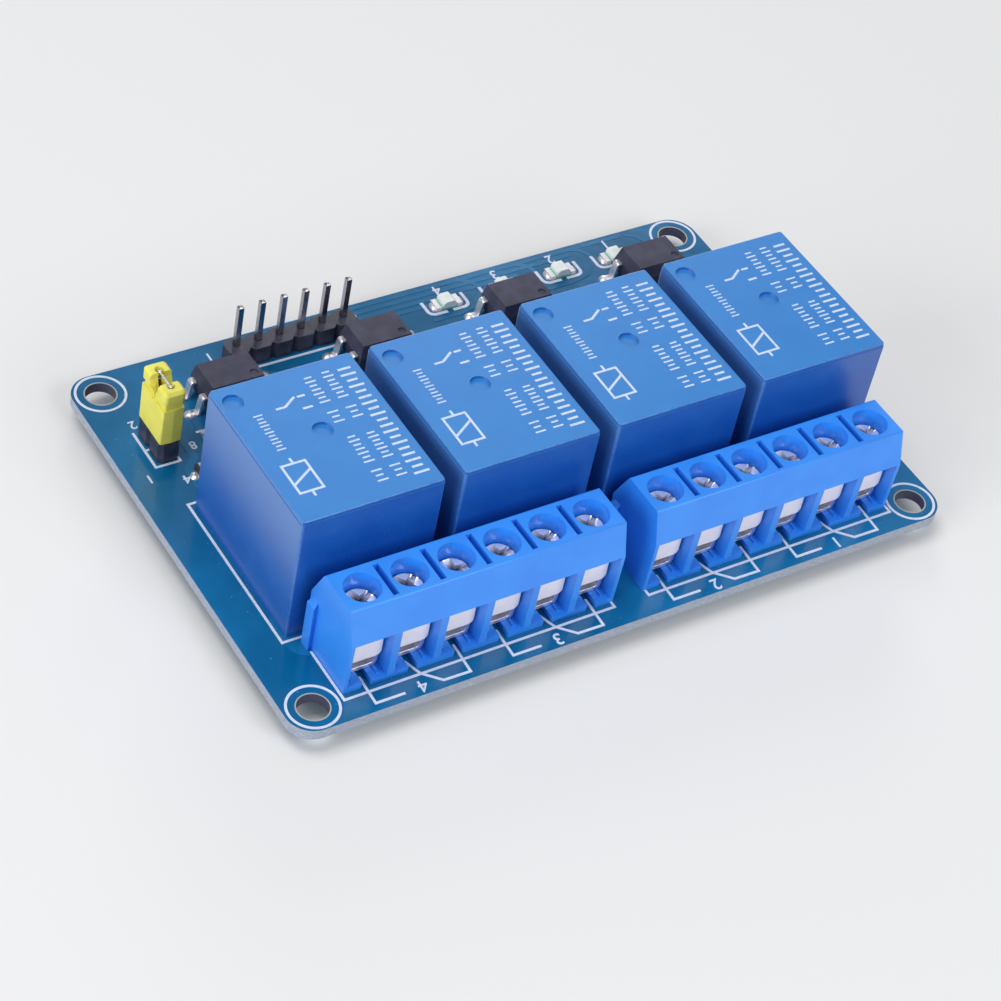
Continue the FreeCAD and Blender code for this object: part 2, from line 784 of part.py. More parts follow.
def make_coupler_leads(x):
    """Four bent leads that leave the parting line, lean out and stand on the board."""
    leads = []
    high = board_top + coupler_parting_z + lead_thickness / 2
    for side in (-1, 1):
        start = x + side * coupler_width / 2
        knee = start + side * lead_shoulder
        heel = knee + side * lead_lean
        toe = heel + side * lead_foot
        thick = side * lead_thickness
        foot_top = board_top + lead_thickness
        outline = [
            (start, high),
            (knee, high),
            (heel, foot_top),
            (toe, foot_top),
            (toe, board_top),
            (heel - thick, board_top),
            (knee - thick, high - lead_thickness),
            (start, high - lead_thickness),
        ]
        for row in (-1, 1):
            y = coupler_centre_y + row * lead_pitch / 2 - lead_width / 2
            lead = prism([(px, y, pz) for px, pz in outline], (0, lead_width, 0))
            bends = edges_along(lead, (0, 1, 0), lambda middle: abs(middle.x - knee) < 0.01)
            leads.append(lead.makeFillet(lead_bend_radius, bends))
    return leads


def make_led(x):
    """Chip indicator: a white carrier with a clear lens on it."""
    base = box(
        (x - led_length / 2, led_y - led_width / 2, board_top),
        (x + led_length / 2, led_y + led_width / 2, board_top + led_base_height),
    )
    lens_high = board_top + led_base_height + led_lens_height
    lens = box(
        (x - led_lens_length / 2, led_y - led_width / 2, board_top + led_base_height / 2),
        (x + led_lens_length / 2, led_y + led_width / 2, lens_high),
    )
    crown = edges_along(lens, (0, 1, 0), lambda middle: middle.z > lens_high - 0.01)
    lens = lens.makeChamfer(led_lens_chamfer, crown)
    return joined([base, lens])


def make_resistors(relay_x):
    """Chip resistors of one channel."""
    solids = []
    y = resistor_y
    for offset_x in resistor_offsets:
        x = relay_x + coupler_offset_x + offset_x
        solids.append(
            box((x - resistor_width / 2, y - resistor_length / 2, board_top),
                (x + resistor_width / 2, y + resistor_length / 2, board_top + resistor_height))
        )
    return solids


def make_diode(relay_x):
    """Moulded flyback diode across the coil."""
    x = relay_x + diode_offset_x
    body = box(
        (x - diode_length / 2, diode_y - diode_width / 2, board_top),
        (x + diode_length / 2, diode_y + diode_width / 2, board_top + diode_height),
    )
    crown = [edge for edge in body.Edges if min(v.Z for v in edge.Vertexes) > board_top + diode_height - 0.01]
    return body.makeChamfer(diode_height / 6, crown)


def make_transistor(relay_x):
    """Small moulded transistor that drives the coil, on three bent legs."""
    x = relay_x + transistor_offset_x
    low = board_top + transistor_leg_thickness
    body = box(
        (x - transistor_length / 2, transistor_y - transistor_width / 2, low),
        (x + transistor_length / 2, transistor_y + transistor_width / 2, board_top + transistor_height),
    )
    legs = []
    leg_places = [(-transistor_leg_pitch / 2, -1), (transistor_leg_pitch / 2, -1), (0, 1)]
    for offset, side in leg_places:
        inner = transistor_y + side * (transistor_width / 2 - transistor_leg_reach)
        outer = transistor_y + side * (transistor_width / 2 + transistor_leg_reach)
        legs.append(
            box(
                (x + offset - transistor_leg_width / 2, min(inner, outer), board_top),
                (x + offset + transistor_leg_width / 2, max(inner, outer), low + transistor_leg_thickness),
            )
        )
    return joined([body] + legs)


def make_header_body(centre_x, centre_y, count, width, height, along_x):
    """Row of square cells with notched corners, bored for the pins."""
    half = count * header_pitch / 2
    reach = width / 2
    row = box((-half, -reach, 0), (half, reach, height))
    notch = header_cell_notch
    cuts = []
    for index in range(count + 1):
        x = -half + index * header_pitch
        for side in (-1, 1):
            edge = side * reach
            cuts.append(
                prism([(x - notch, edge, -1), (x, edge - side * notch, -1), (x + notch, edge, -1)],
                      (0, 0, height + 2))
            )
    for index in range(count):
        x = -half + (index + 0.5) * header_pitch
        offset = input_pin_offset_y if along_x else 0
        pin_half = header_pin_width / 2
        cuts.append(box((x - pin_half, offset - pin_half, -1), (x + pin_half, offset + pin_half, height + 1)))
    body = row.cut(cuts)
    if not along_x:
        body.rotate(Vector(0, 0, 0), Vector(0, 0, 1), 90)
    body.translate(Vector(centre_x, centre_y, board_top))
    return body


def make_header_pins():
    """Square posts of the input header and of the jumper header."""
    pins = []
    for x in input_pin_xs:
        pins.append(pointed_pin(x, input_pin_y, 0, board_top + input_pin_top_z, header_pin_width,
                                header_pin_width, header_pin_point))
    for y in jumper_pin_ys:
        pins.append(pointed_pin(jumper_x, y, 0, board_top + jumper_pin_top_z, header_pin_width,
                                header_pin_width, header_pin_point))
    return pins


cap_bottom = board_top + jumper_body_height + cap_seat_gap
cap_shoulder = cap_bottom + cap_body_height
cap_top = cap_shoulder + cap_neck_height + cap_head_height


def make_jumper_cap():
    """Shorting cap: a hollow body, a neck and two flared heads with a pointed notch between."""
    half_x = cap_width / 2
    half_y = cap_length / 2
    shoulder_y = half_y - cap_end_ridge
    plan = [
        (jumper_x - half_x, jumper_y - shoulder_y, cap_bottom),
        (jumper_x, jumper_y - half_y, cap_bottom),
        (jumper_x + half_x, jumper_y - shoulder_y, cap_bottom),
        (jumper_x + half_x, jumper_y + shoulder_y, cap_bottom),
        (jumper_x, jumper_y + half_y, cap_bottom),
        (jumper_x - half_x, jumper_y + shoulder_y, cap_bottom),
    ]
    body = prism(plan, (0, 0, cap_body_height))
    corners = edges_along(body, (0, 0, 1), lambda middle: abs(middle.x - jumper_x) > half_x / 2)
    body = body.makeFillet(cap_edge_radius, corners)
    neck = box(
        (jumper_x - half_x + cap_neck_inset, jumper_y - half_y + cap_neck_inset, cap_shoulder - 0.1),
        (jumper_x + half_x - cap_neck_inset, jumper_y + half_y - cap_neck_inset, cap_top - 0.1),
    )
    neck = neck.makeFillet(cap_edge_radius, edges_along(neck, (0, 0, 1), lambda middle: True))
    head = box(
        (jumper_x - half_x, jumper_y - half_y, cap_shoulder + cap_neck_height),
        (jumper_x + half_x, jumper_y + half_y, cap_top),
    )
    head = head.makeFillet(cap_head_corner, edges_along(head, (0, 0, 1), lambda middle: True))
    rims = [edge for edge in head.Edges if abs(edge.Vertexes[0].Z - edge.Vertexes[-1].Z) < 1e-6]
    head = head.makeChamfer(cap_head_chamfer, rims)
    notch = pointed_notch(cap_width + 2, cap_notch_width / 2, cap_shoulder - cap_notch_dip)
    throat = pointed_notch(cap_throat_width, cap_notch_width / 2, cap_shoulder - cap_throat_depth)
    bore_top = cap_bottom + clip_bottom_gap + clip_height
    bore = box(
        (jumper_x - half_x + cap_wall, jumper_y - half_y + cap_wall, cap_bottom - 1),
        (jumper_x + half_x - cap_wall, jumper_y + half_y - cap_wall, bore_top),
    )
    posts = [rod(jumper_x, y, cap_bottom, cap_top + 1, cap_post_hole_radius) for y in jumper_pin_ys]
    slot = box(
        (jumper_x - cap_slot_width / 2, min(jumper_pin_ys), bore_top - 0.1),
        (jumper_x + cap_slot_width / 2, max(jumper_pin_ys), cap_top + 1),
    )
    return joined([body, neck, head]).cut([notch, throat, bore, slot] + posts)


def pointed_notch(width, half, low):
    """Notch across the cap: straight at the top, then narrowing to a point."""
    bend = cap_top - cap_notch_straight
    left = jumper_x - width / 2
    outline = [
        (left, jumper_y, low),
        (left, jumper_y + half, bend),
        (left, jumper_y + half, cap_top + 1),
        (left, jumper_y - half, cap_top + 1),
        (left, jumper_y - half, bend),
    ]
    return prism(outline, (width, 0, 0))


def make_jumper_clip():
    """Sprung contact in the cap: leaves beside the posts, a web, and a tongue with a bar on top."""
    inner = header_pin_width / 2 + clip_pin_clearance
    low = cap_bottom + clip_bottom_gap
    high = low + clip_height
    front = jumper_y - clip_length / 2
    back = jumper_y + clip_length / 2
    leaves = []
    for side in (-1, 1):
        near = jumper_x + side * inner
        far = near + side * clip_thickness
        leaves.append(box((min(near, far), front, low), (max(near, far), back, high)))
    half = clip_thickness / 2
    web = box(
        (jumper_x - inner - half, jumper_y - half, high - clip_web_height),
        (jumper_x + inner + half, jumper_y + half, high),
    )
    bar_low = cap_top - clip_bar_low
    bar_top = cap_top - clip_bar_top
    stem = box(
        (jumper_x - half, jumper_y - clip_stem_half, high - clip_web_height),
        (jumper_x + half, jumper_y + clip_stem_half, bar_top),
    )
    bar = box(
        (jumper_x - half, jumper_y - clip_bar_reach, bar_low),
        (jumper_x + half, jumper_y + clip_bar_reach, bar_top),
    )
    lugs = []
    for side in (-1, 1):
        y = jumper_y + side * (clip_bar_reach - clip_thickness)
        lugs.append(
            box((jumper_x - clip_lug_width / 2, y - half, bar_low),
                (jumper_x + clip_lug_width / 2, y + half, bar_top + clip_thickness / 2))
        )
    return joined(leaves + [web, stem, bar] + lugs)


def main():
    os.makedirs("parts", exist_ok=True)
    save("circuit_board", [make_board()])
    save("solder_joints", make_solder_joints())
    for index, block_x in enumerate(block_centres, 1):
        save("terminal_housing_" + str(index), [make_terminal_housing(block_x)])
    save("terminal_clamps", [make_clamp_body(x) for x in terminal_xs])
    for index, x in enumerate(terminal_xs, 1):
        save("wire_guard_%02d" % index, [make_wire_guard(x)])
        save("terminal_screw_%02d" % index, [make_terminal_screw(x)])
    for index, relay_x in enumerate(relay_xs, 1):
        save("relay_case_%d" % index, [make_relay_case(relay_x)])
        save("relay_base_%d" % index, [make_relay_base(relay_x)])
        save("relay_magnet_%d" % index, make_relay_magnet(relay_x))
        save("relay_armature_%d" % index, [make_relay_armature(relay_x)])
        save("relay_contacts_%d" % index, make_relay_contacts(relay_x))
    coupler_xs = [x + coupler_offset_x for x in relay_xs]
    save("coupler_bodies", [make_coupler_body(x) for x in coupler_xs])
    save("coupler_leads", [lead for x in coupler_xs for lead in make_coupler_leads(x)])
    save("indicator_leds", [make_led(led_first_x + index * led_pitch) for index in range(relay_count)])
    save("chip_resistors", [solid for x in relay_xs for solid in make_resistors(x)])
    save("coil_diodes", [make_diode(x) for x in relay_xs])
    save("drive_transistors", [make_transistor(x) for x in relay_xs])
    save("input_header_body", [make_header_body(input_centre_x, input_body_y, input_pin_count,
                                                input_body_depth, input_body_height, True)])
    save("jumper_header_body", [make_header_body(jumper_x, jumper_y, jumper_pin_count,
                                                 jumper_body_width, jumper_body_height, False)])
    save("header_pins", make_header_pins())
    save("jumper_cap", [make_jumper_cap()])
    save("jumper_clip", [make_jumper_clip()])


main()
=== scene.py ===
import math

import bmesh
import bpy
from mathutils import Matrix, Vector


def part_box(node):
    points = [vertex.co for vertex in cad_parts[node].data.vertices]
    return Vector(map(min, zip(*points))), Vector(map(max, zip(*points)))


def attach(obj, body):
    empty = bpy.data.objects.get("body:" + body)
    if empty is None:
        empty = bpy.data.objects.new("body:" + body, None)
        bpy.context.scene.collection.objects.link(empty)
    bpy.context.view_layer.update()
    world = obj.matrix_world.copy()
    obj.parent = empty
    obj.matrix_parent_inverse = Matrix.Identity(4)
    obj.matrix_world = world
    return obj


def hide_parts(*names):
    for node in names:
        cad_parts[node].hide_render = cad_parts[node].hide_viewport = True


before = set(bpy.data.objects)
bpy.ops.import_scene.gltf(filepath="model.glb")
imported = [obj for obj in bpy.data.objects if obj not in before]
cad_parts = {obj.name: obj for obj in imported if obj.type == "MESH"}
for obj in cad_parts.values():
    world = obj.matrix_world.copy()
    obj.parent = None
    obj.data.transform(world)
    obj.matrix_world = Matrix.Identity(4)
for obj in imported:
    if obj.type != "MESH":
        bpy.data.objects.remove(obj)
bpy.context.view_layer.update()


# Printed board
# Glass fibre laminate with a glossy blue solder mask on both faces. The routed edge shows the bare
# laminate, the walls of the four fixing holes are painted dark as painted shade, and the mask stops
# a hair short of each hole.

millimetre = 0.001
mask_blue = (0.001, 0.106, 0.250)
mask_light = (0.006, 0.158, 0.365)
mask_roughness = 0.15
weave_turn = 2.6
dust_grey = (0.45, 0.58, 0.66)
bare_rim = (0.42, 0.42, 0.36)
laminate_pale = (0.42, 0.47, 0.57)
laminate_dull = (0.28, 0.32, 0.40)
laminate_roughness = 0.8
# Painted shade: a dark colour for the walls of the fixing holes, where shade falls.
hole_wall_shade = (0.050, 0.052, 0.105)
hole_x = 35.6
hole_y = 22.75
hole_radius = 1.6
corner_gap = 0.001
sharp_edge = math.radians(40)


class Shade:
    """A shader socket that takes part in Python expressions."""

    def __init__(self, tree, socket=None):
        self.tree = tree
        self.socket = socket

    def node(self, kind, settings=None, inputs=None, output=0):
        """Any node, from its type, its settings, and the values or links of its sockets."""
        made = self.tree.nodes.new(kind)
        for name, value in (settings or {}).items():
            setattr(made, name, value)
        for name, value in (inputs or {}).items():
            if isinstance(value, Shade):
                self.tree.links.new(value.socket, made.inputs[name])
            else:
                made.inputs[name].default_value = value
        return Shade(self.tree, made.outputs[output])

    def maths(self, operation, *values):
        """A Math node on the values or sockets given."""
        return self.node("ShaderNodeMath", {"operation": operation}, dict(enumerate(values)))

    def __add__(self, other):
        return self.maths("ADD", self, other)

    def __sub__(self, other):
        return self.maths("SUBTRACT", self, other)

    def __rsub__(self, other):
        return self.maths("SUBTRACT", other, self)

    def __mul__(self, other):
        return self.maths("MULTIPLY", self, other)

    def __truediv__(self, other):
        return self.maths("DIVIDE", self, other)

    def __gt__(self, other):
        return self.maths("GREATER_THAN", self, other)

    def __lt__(self, other):
        return self.maths("LESS_THAN", self, other)

    def __abs__(self):
        return self.maths("ABSOLUTE", self)

    __radd__ = __add__
    __rmul__ = __mul__

    def least(self, other):
        return self.maths("MINIMUM", self, other)

    def most(self, other):
        return self.maths("MAXIMUM", self, other)

    def sine(self):
        return self.maths("SINE", self)

    def beside(self, other):
        """Length of the two as the sides of a right angle."""
        return self.maths("SQRT", self * self + other * other)

    def fade(self, start, end):
        """0 at start and below, 1 at end and above."""
        return self.node("ShaderNodeMapRange", {"interpolation_type": "SMOOTHSTEP"},
                         {"Value": self, "From Min": start, "From Max": end})

    def repeat(self, first, pitch):
        """Distance from the nearest of evenly spaced places, the first of them given."""
        turns = (self - first) / pitch + 0.5
        return (self.maths("FRACT", turns) - 0.5) * pitch

    def axes(self):
        """The three values of a place, in millimetres."""
        split = self.node("ShaderNodeSeparateXYZ", None, {0: self})
        return [Shade(self.tree, output) * 1000 for output in split.socket.node.outputs]

    def stretched(self, x, y, z):
        """This place with each axis multiplied, so that a pattern on it gets shorter along that axis."""
        return self.node("ShaderNodeVectorMath", {"operation": "MULTIPLY"}, {0: self, 1: (x, y, z)})

    def colour(self, first, second):
        """Colour between two, by this mask."""
        values = {0: self}
        for index, value in ((6, first), (7, second)):
            values[index] = value if isinstance(value, Shade) else (*value, 1)
        return self.node("ShaderNodeMix", {"data_type": "RGBA"}, values, 2)

    def noise(self, size, detail=2.0, roughness=0.5):
        """Soft random pattern, its size in millimetres, on this place."""
        return self.node("ShaderNodeTexNoise", None,
                         {"Vector": self, "Scale": 1 / (size * millimetre), "Detail": detail,
                          "Roughness": roughness})

    def relief(self, depth, under=None):
        """Normal of a surface raised by this height, its depth in millimetres."""
        values = {"Height": self, "Distance": depth * millimetre, "Strength": 1.0}
        if under is not None:
            values["Normal"] = under
        return self.node("ShaderNodeBump", None, values)


def finish(name, look, **constants):
    """Material from constants and from the sockets that a look gives at a place on the piece."""
    material = bpy.data.materials.new(name)
    material.use_nodes = True
    tree = material.node_tree
    shader = tree.nodes["Principled BSDF"]
    sockets = dict(constants)
    sockets.update(look(Shade(tree).node("ShaderNodeTexCoord", output="Object")))
    for socket, value in sockets.items():
        socket = socket.replace("_", " ")
        if isinstance(value, Shade):
            tree.links.new(value.socket, shader.inputs[socket])
        else:
            shader.inputs[socket].default_value = (*value, 1) if isinstance(value, tuple) else value
    return material


def facing(place, axis):
    """How far the surface faces along an axis, either way, from 0 to 1."""
    normal = place.node("ShaderNodeTexCoord", output="Normal")
    return abs(normal.node("ShaderNodeSeparateXYZ", None, {0: normal}, axis))


def dress(nodes, material, edge=0.0):
    """Gives CAD nodes their finish, and soft edges where an edge width is given in millimetres."""
    for node in nodes:
        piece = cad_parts[node]
        piece.data.materials.clear()
        piece.data.materials.append(material)
        if edge:
            weld = piece.modifiers.new("weld", "WELD")
            weld.merge_threshold = corner_gap * millimetre
            bevel = piece.modifiers.new("edges", "BEVEL")
            bevel.width = edge * millimetre
            bevel.segments = 2
            bevel.limit_method = "ANGLE"
            bevel.angle_limit = sharp_edge
            bevel.harden_normals = True


def span(node):
    """Lowest corner, highest corner and middle of a CAD node at rest, in millimetres."""
    low, high = (corner * 1000 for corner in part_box(node))
    return low, high, (low + high) / 2


def board_look(place):
    x, y = place.axes()[:2]
    face = facing(place, 2).fade(0.55, 0.8)
    cloud = place.noise(11.0, 3.0).fade(0.35, 0.7)
    weave = (x * weave_turn).sine() * (y * weave_turn).sine()
    dust = place.noise(0.3, 2.0).fade(0.745, 0.76)
    from_hole = (abs(x) - hole_x).beside(abs(y) - hole_y)
    rim = 1 - from_hole.fade(hole_radius + 0.1, hole_radius + 0.16)
    painted = cloud.colour(mask_blue, mask_light)
    painted = (dust * 0.4).colour(painted, dust_grey)
    painted = rim.colour(painted, bare_rim)
    fibre = place.stretched(1, 1, 4).noise(0.5, 4.0).fade(0.3, 0.75)
    # The walls of the fixing holes get the dark colour: painted shade.
    in_hole = from_hole < hole_radius + 0.05
    cut = in_hole.colour(fibre.colour(laminate_dull, laminate_pale), hole_wall_shade)
    polish = laminate_roughness - face * (laminate_roughness - mask_roughness)
    return {
        "Base Color": face.colour(cut, painted),
        "Roughness": polish + face * cloud * 0.04,
        "Normal": (weave * 0.5 * face + fibre * 8 * (1 - face)).relief(0.004),
    }


solder_mask = finish("solder_mask", board_look, Coat_Weight=0.3, Coat_Roughness=0.06)
dress(["circuit_board"], solder_mask)
board_under, board_top = (corner.z for corner in span("circuit_board")[:2])


# Copper under the solder mask
# Etched copper, 35 microns thick, under the same mask, so tracks and filled areas show as raised,
# lighter bands. Fine ones join the small parts on top, wide ones carry the switched current below.

copper_height = 0.035
crossing_step = 0.008
supply_step = 0.002
sunk = 0.01
fine_track = 0.5
lead_track = 0.9
coil_track = 1.0
supply_track = 1.2
wide_track = 2.6
pin_pitch = 2.54
half_pitch = pin_pitch / 2
relay_names = [str(number) for number in range(1, 5)]
relay_spans = [span("relay_case_" + name) for name in relay_names]
relay_middle = relay_spans[0][2]
relay_xs = [middle.x for low, high, middle in relay_spans]
relay_half = (relay_spans[0][1] - relay_spans[0][0]) / 2
relay_front = relay_middle.y - relay_half.y
contacts_low, contacts_high = span("relay_contacts_1")[:2]
front_pin_y = contacts_low.y + 0.2
back_pin_y = contacts_high.y - 0.2
coil_pin_y = back_pin_y - 2.0
relay_pin_x = 6.0
pole_names = ["%02d" % number for number in range(1, 13)]
screw_spans = [span("terminal_screw_" + name) for name in pole_names]
pole_xs = [middle.x for low, high, middle in screw_spans]
pole_y = screw_spans[0][2].y
block_span = span("terminal_housing_1")
header_middle = span("input_header_body")[2]
header_pin_y = header_middle.y + 0.25
header_xs = [header_middle.x + (index - 2.5) * pin_pitch for index in range(6)]
jumper_middle = span("jumper_header_body")[2]
coupler_span = span("coupler_bodies")
coupler_y = coupler_span[2].y
coupler_half = 3.25
coupler_shift = coupler_span[0].x + coupler_half - relay_xs[0]
lead_tip_x = 4.75
led_low, led_high, led_middle = span("indicator_leds")
led_half = 1.6
led_step = (led_high.x - led_low.x - 2 * led_half) / 3
led_xs = [led_low.x + led_half + index * led_step for index in range(4)]
led_turn = [(3.3, 24.9), (4.3, 24.4), (4.8, 23.5), (4.8, 22.6), (4.2, 21.7), (3.0, 20.6), (0.6, 20.1),
            (-2.6, 20.1)]
chip_y = span("chip_resistors")[2].y
diode_y = span("coil_diodes")[2].y
transistor_y = span("drive_transistors")[2].y
diode_shift = -4.2
transistor_shift = 4.4
chip_shifts = (-2.0, 1.6)


def raised(shape, faces, height):
    """Gives flat faces their thickness, up or down, and keeps the shape closed."""
    edges = list(dict.fromkeys(edge for face in faces for edge in face.edges))
    made = bmesh.ops.extrude_face_region(shape, geom=faces + edges, use_keep_orig=True)
    tops = [part for part in made["geom"] if isinstance(part, bmesh.types.BMVert)]
    bmesh.ops.translate(shape, vec=(0, 0, height), verts=tops)


def ribbon(shape, points, width, level, height):
    """Flat line with mitred turns: one edge drawn from point to point, then raised."""
    upright = Vector((0, 0, 1))
    spots = [Vector((x, y, level)) for x, y in points]
    runs = [(end - start).normalized() for start, end in zip(spots, spots[1:])]
    closed = (spots[0] - spots[-1]).length < corner_gap
    befores = [runs[-1] if closed else runs[0]] + runs
    afters = runs + [runs[0] if closed else runs[-1]]
    sides = []
    for before, after in zip(befores, afters):
        across = (before + after).normalized().cross(upright)
        sides.append(across * (width / 2 / across.dot(before.cross(upright))))
    edge = shape.edges.new([shape.verts.new(spots[0] + sides[0]), shape.verts.new(spots[0] - sides[0])])
    faces = []
    for index in range(1, len(spots)):
        made = bmesh.ops.extrude_edge_only(shape, edges=[edge])
        fresh = [part for part in made["geom"] if isinstance(part, bmesh.types.BMVert)]
        for vert in fresh:
            last = vert.co - spots[index - 1]
            vert.co = spots[index] + (sides[index] if last.dot(sides[index - 1]) > 0 else -sides[index])
        edge = next(part for part in made["geom"] if isinstance(part, bmesh.types.BMEdge)
                    and all(vert in fresh for vert in part.verts))
        faces += [part for part in made["geom"] if isinstance(part, bmesh.types.BMFace)]
    raised(shape, faces, height)


def patch(shape, corners, radius, level, height):
    """Flat area with rounded corners, raised."""
    earlier = set(shape.faces)
    face = shape.faces.new([shape.verts.new((x, y, level)) for x, y in corners])
    bmesh.ops.bevel(shape, geom=list(face.verts), offset=radius, segments=6, profile=0.5,
                    affect="VERTICES", material=-1)
    raised(shape, [part for part in shape.faces if part not in earlier], height)


def add_piece(name, shape, material, body, smooth=False):
    """Turns a shape in millimetres into a piece that rides on a body."""
    bmesh.ops.scale(shape, vec=(millimetre, millimetre, millimetre), verts=shape.verts)
    bmesh.ops.recalc_face_normals(shape, faces=shape.faces)
    mesh = bpy.data.meshes.new(name)
    shape.to_mesh(mesh)
    shape.free()
    mesh.materials.append(material)
    for face in mesh.polygons:
        face.use_smooth = smooth
    piece = bpy.data.objects.new(name, mesh)
    bpy.context.scene.collection.objects.link(piece)
    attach(piece, body)
    return piece


def copper_look(place):
    cloud = place.noise(8.0, 3.0).fade(0.3, 0.75)
    return {
        "Base Color": cloud.colour((0.002, 0.122, 0.28), (0.008, 0.168, 0.37)),
        "Roughness": 0.14 + cloud * 0.05,
        "Normal": place.noise(0.6, 2.0).relief(0.003),
    }


masked_copper = finish("masked_copper", copper_look, Coat_Weight=0.3, Coat_Roughness=0.06)

copper = bmesh.new()
top_level = board_top - sunk
under_level = board_under + sunk
track_height = copper_height + sunk


def track(points, width=fine_track, extra=0.0):
    """Track on the board's top, raised by a hair more where it crosses another."""
    ribbon(copper, points, width, top_level, track_height + extra)


def under_track(points, width, extra=0.0):
    """Track on the board's underside, raised by a hair more where it crosses another."""
    ribbon(copper, points, width, under_level, -track_height - extra)


for index, x in enumerate(header_xs[:4]):
    lane = 25.0 - 0.85 * index
    track([(x, header_pin_y + 0.9), (x, lane - 0.4), (x + 0.4, lane), (led_xs[3 - index] + 2.7, lane)])
for led_x in led_xs:
    track([(led_x + shift, y) for shift, y in led_turn], extra=crossing_step)
for relay_x in relay_xs:
    left = relay_x + coupler_shift - lead_tip_x
    right = relay_x + coupler_shift + lead_tip_x
    front_row = coupler_y - half_pitch
    back_row = coupler_y + half_pitch
    coil_x = relay_x - relay_pin_x
    track([(left, front_row), (left, 14.2), (left + 1.2, 13.0)], lead_track)
    track([(left + 3.9, 11.2), (left + 3.9, 10.4), (left + 5.1, 9.2), (left + 6.3, 9.2)])
    track([(right, front_row), (right, 12.6), (right - 1.6, 11.0)], lead_track)
    track([(right, back_row), (right + 1.2, back_row), (right + 2.2, coupler_y + 0.3), (right + 2.2, 14.6)])
    track([(coil_x, 6.0), (coil_x, 9.6), (relay_x - 4.6, 11.0), (relay_x - 4.6, 14.4)], lead_track)
fill_front = relay_front - 3.0
fill_back = relay_front + 4.0
for side in (-1, 1):
    outer = side * (relay_xs[3] + relay_half.x + 0.35)
    inner = side * (abs(block_span[0].x) - 6)
    patch(copper, [(outer, fill_front), (inner, fill_front), (inner, fill_back), (outer, fill_back)], 2.0,
          top_level, track_height)

for number, relay_x in enumerate(relay_xs):
    near, middle, far = pole_xs[3 * number:3 * number + 3]
    for side, pole_x in ((-1, near), (1, far)):
        under_track([(relay_x + side * relay_pin_x, front_pin_y), (pole_x, -15.4), (pole_x, pole_y)],
                    wide_track)
    under_track([(relay_x, back_pin_y), (relay_x, -9.5), (middle, -13.6), (middle, pole_y)], wide_track)
    coil_left = relay_x - relay_pin_x
    coil_right = relay_x + relay_pin_x
    under_track([(coil_left, coil_pin_y), (coil_left, 9.4), (relay_x - 3.4, 12.0)], coil_track)
    under_track([(coil_right, coil_pin_y), (coil_right, 13.6)], coil_track)
under_track([(-36.6, 14.0), (32.9, 14.0)], supply_track, supply_step)
under_track([(jumper_middle.x, 12.6), (jumper_middle.x, 16.6), (header_xs[0], 16.6),
             (header_xs[0], header_pin_y)], supply_track)
for index, x in enumerate(header_xs[1:5]):
    lane = 18.2 + 0.9 * index
    under_track([(x, header_pin_y), (x, lane), (x + 6 + 9 * index, lane)], fine_track)
add_piece("masked_copper", copper, masked_copper, "module")


# White printing on the board
# Screen printed ink: a ring round each fixing hole, the outlines of the parts, the contact symbol of
# each channel in front of its three poles, and plain numbers.

white_ink = (0.66, 0.72, 0.86)
ink_line = 0.27
led_line = 0.38
header_line = 0.3
ink_height = 0.06
ink_step = 0.006
ink_spread = 0.02
ring_inner = 2.44
ring_outer = 2.71
port_front = -21.2
block_back = -16.6
block_front = -23.2


def ink_look(place):
    worn = place.noise(0.5, 3.0).fade(0.25, 0.6)
    return {
        "Base Color": worn.colour(tuple(0.88 * part for part in white_ink), white_ink),
        "Roughness": 0.5 + worn * 0.12,
        "Normal": place.noise(0.12, 2.0).relief(0.003),
    }


white_print = finish("white_print", ink_look)

ink = bmesh.new()


def stroke(points, width=ink_line, extra=0.0):
    """Printed line, raised by a hair more where it crosses another."""
    ribbon(ink, points, width, top_level, ink_height + extra)


def ring(x, y):
    """Printed ring: a short upright section turned about its middle."""
    section = ((ring_inner, 0), (ring_outer, 0), (ring_outer, ink_height), (ring_inner, ink_height))
    face = ink.faces.new([ink.verts.new((x + radius, y, top_level + rise)) for radius, rise in section])
    bmesh.ops.spin(ink, geom=[face], cent=(x, y, 0), axis=(0, 0, 1), angle=math.tau, steps=64,
                   use_merge=True, use_duplicate=False)


def add_number(text, x, y, size):
    """Plain printed number, flat on the board and read from the back edge."""
    words = bpy.data.curves.new("number", "FONT")
    words.body = text
    words.size = size
    words.offset = ink_spread
    words.extrude = ink_height / 2
    words.align_x = "CENTER"
    words.align_y = "CENTER"
    holder = bpy.data.objects.new("number", words)
    flat = bpy.data.meshes.new_from_object(holder)
    spot = Matrix.Translation((x, y, top_level + ink_height / 2))
    flat.transform(spot @ Matrix.Rotation(math.pi, 4, "Z"))
    ink.from_mesh(flat)
    bpy.data.meshes.remove(flat)
    bpy.data.objects.remove(holder)
    bpy.data.curves.remove(words)


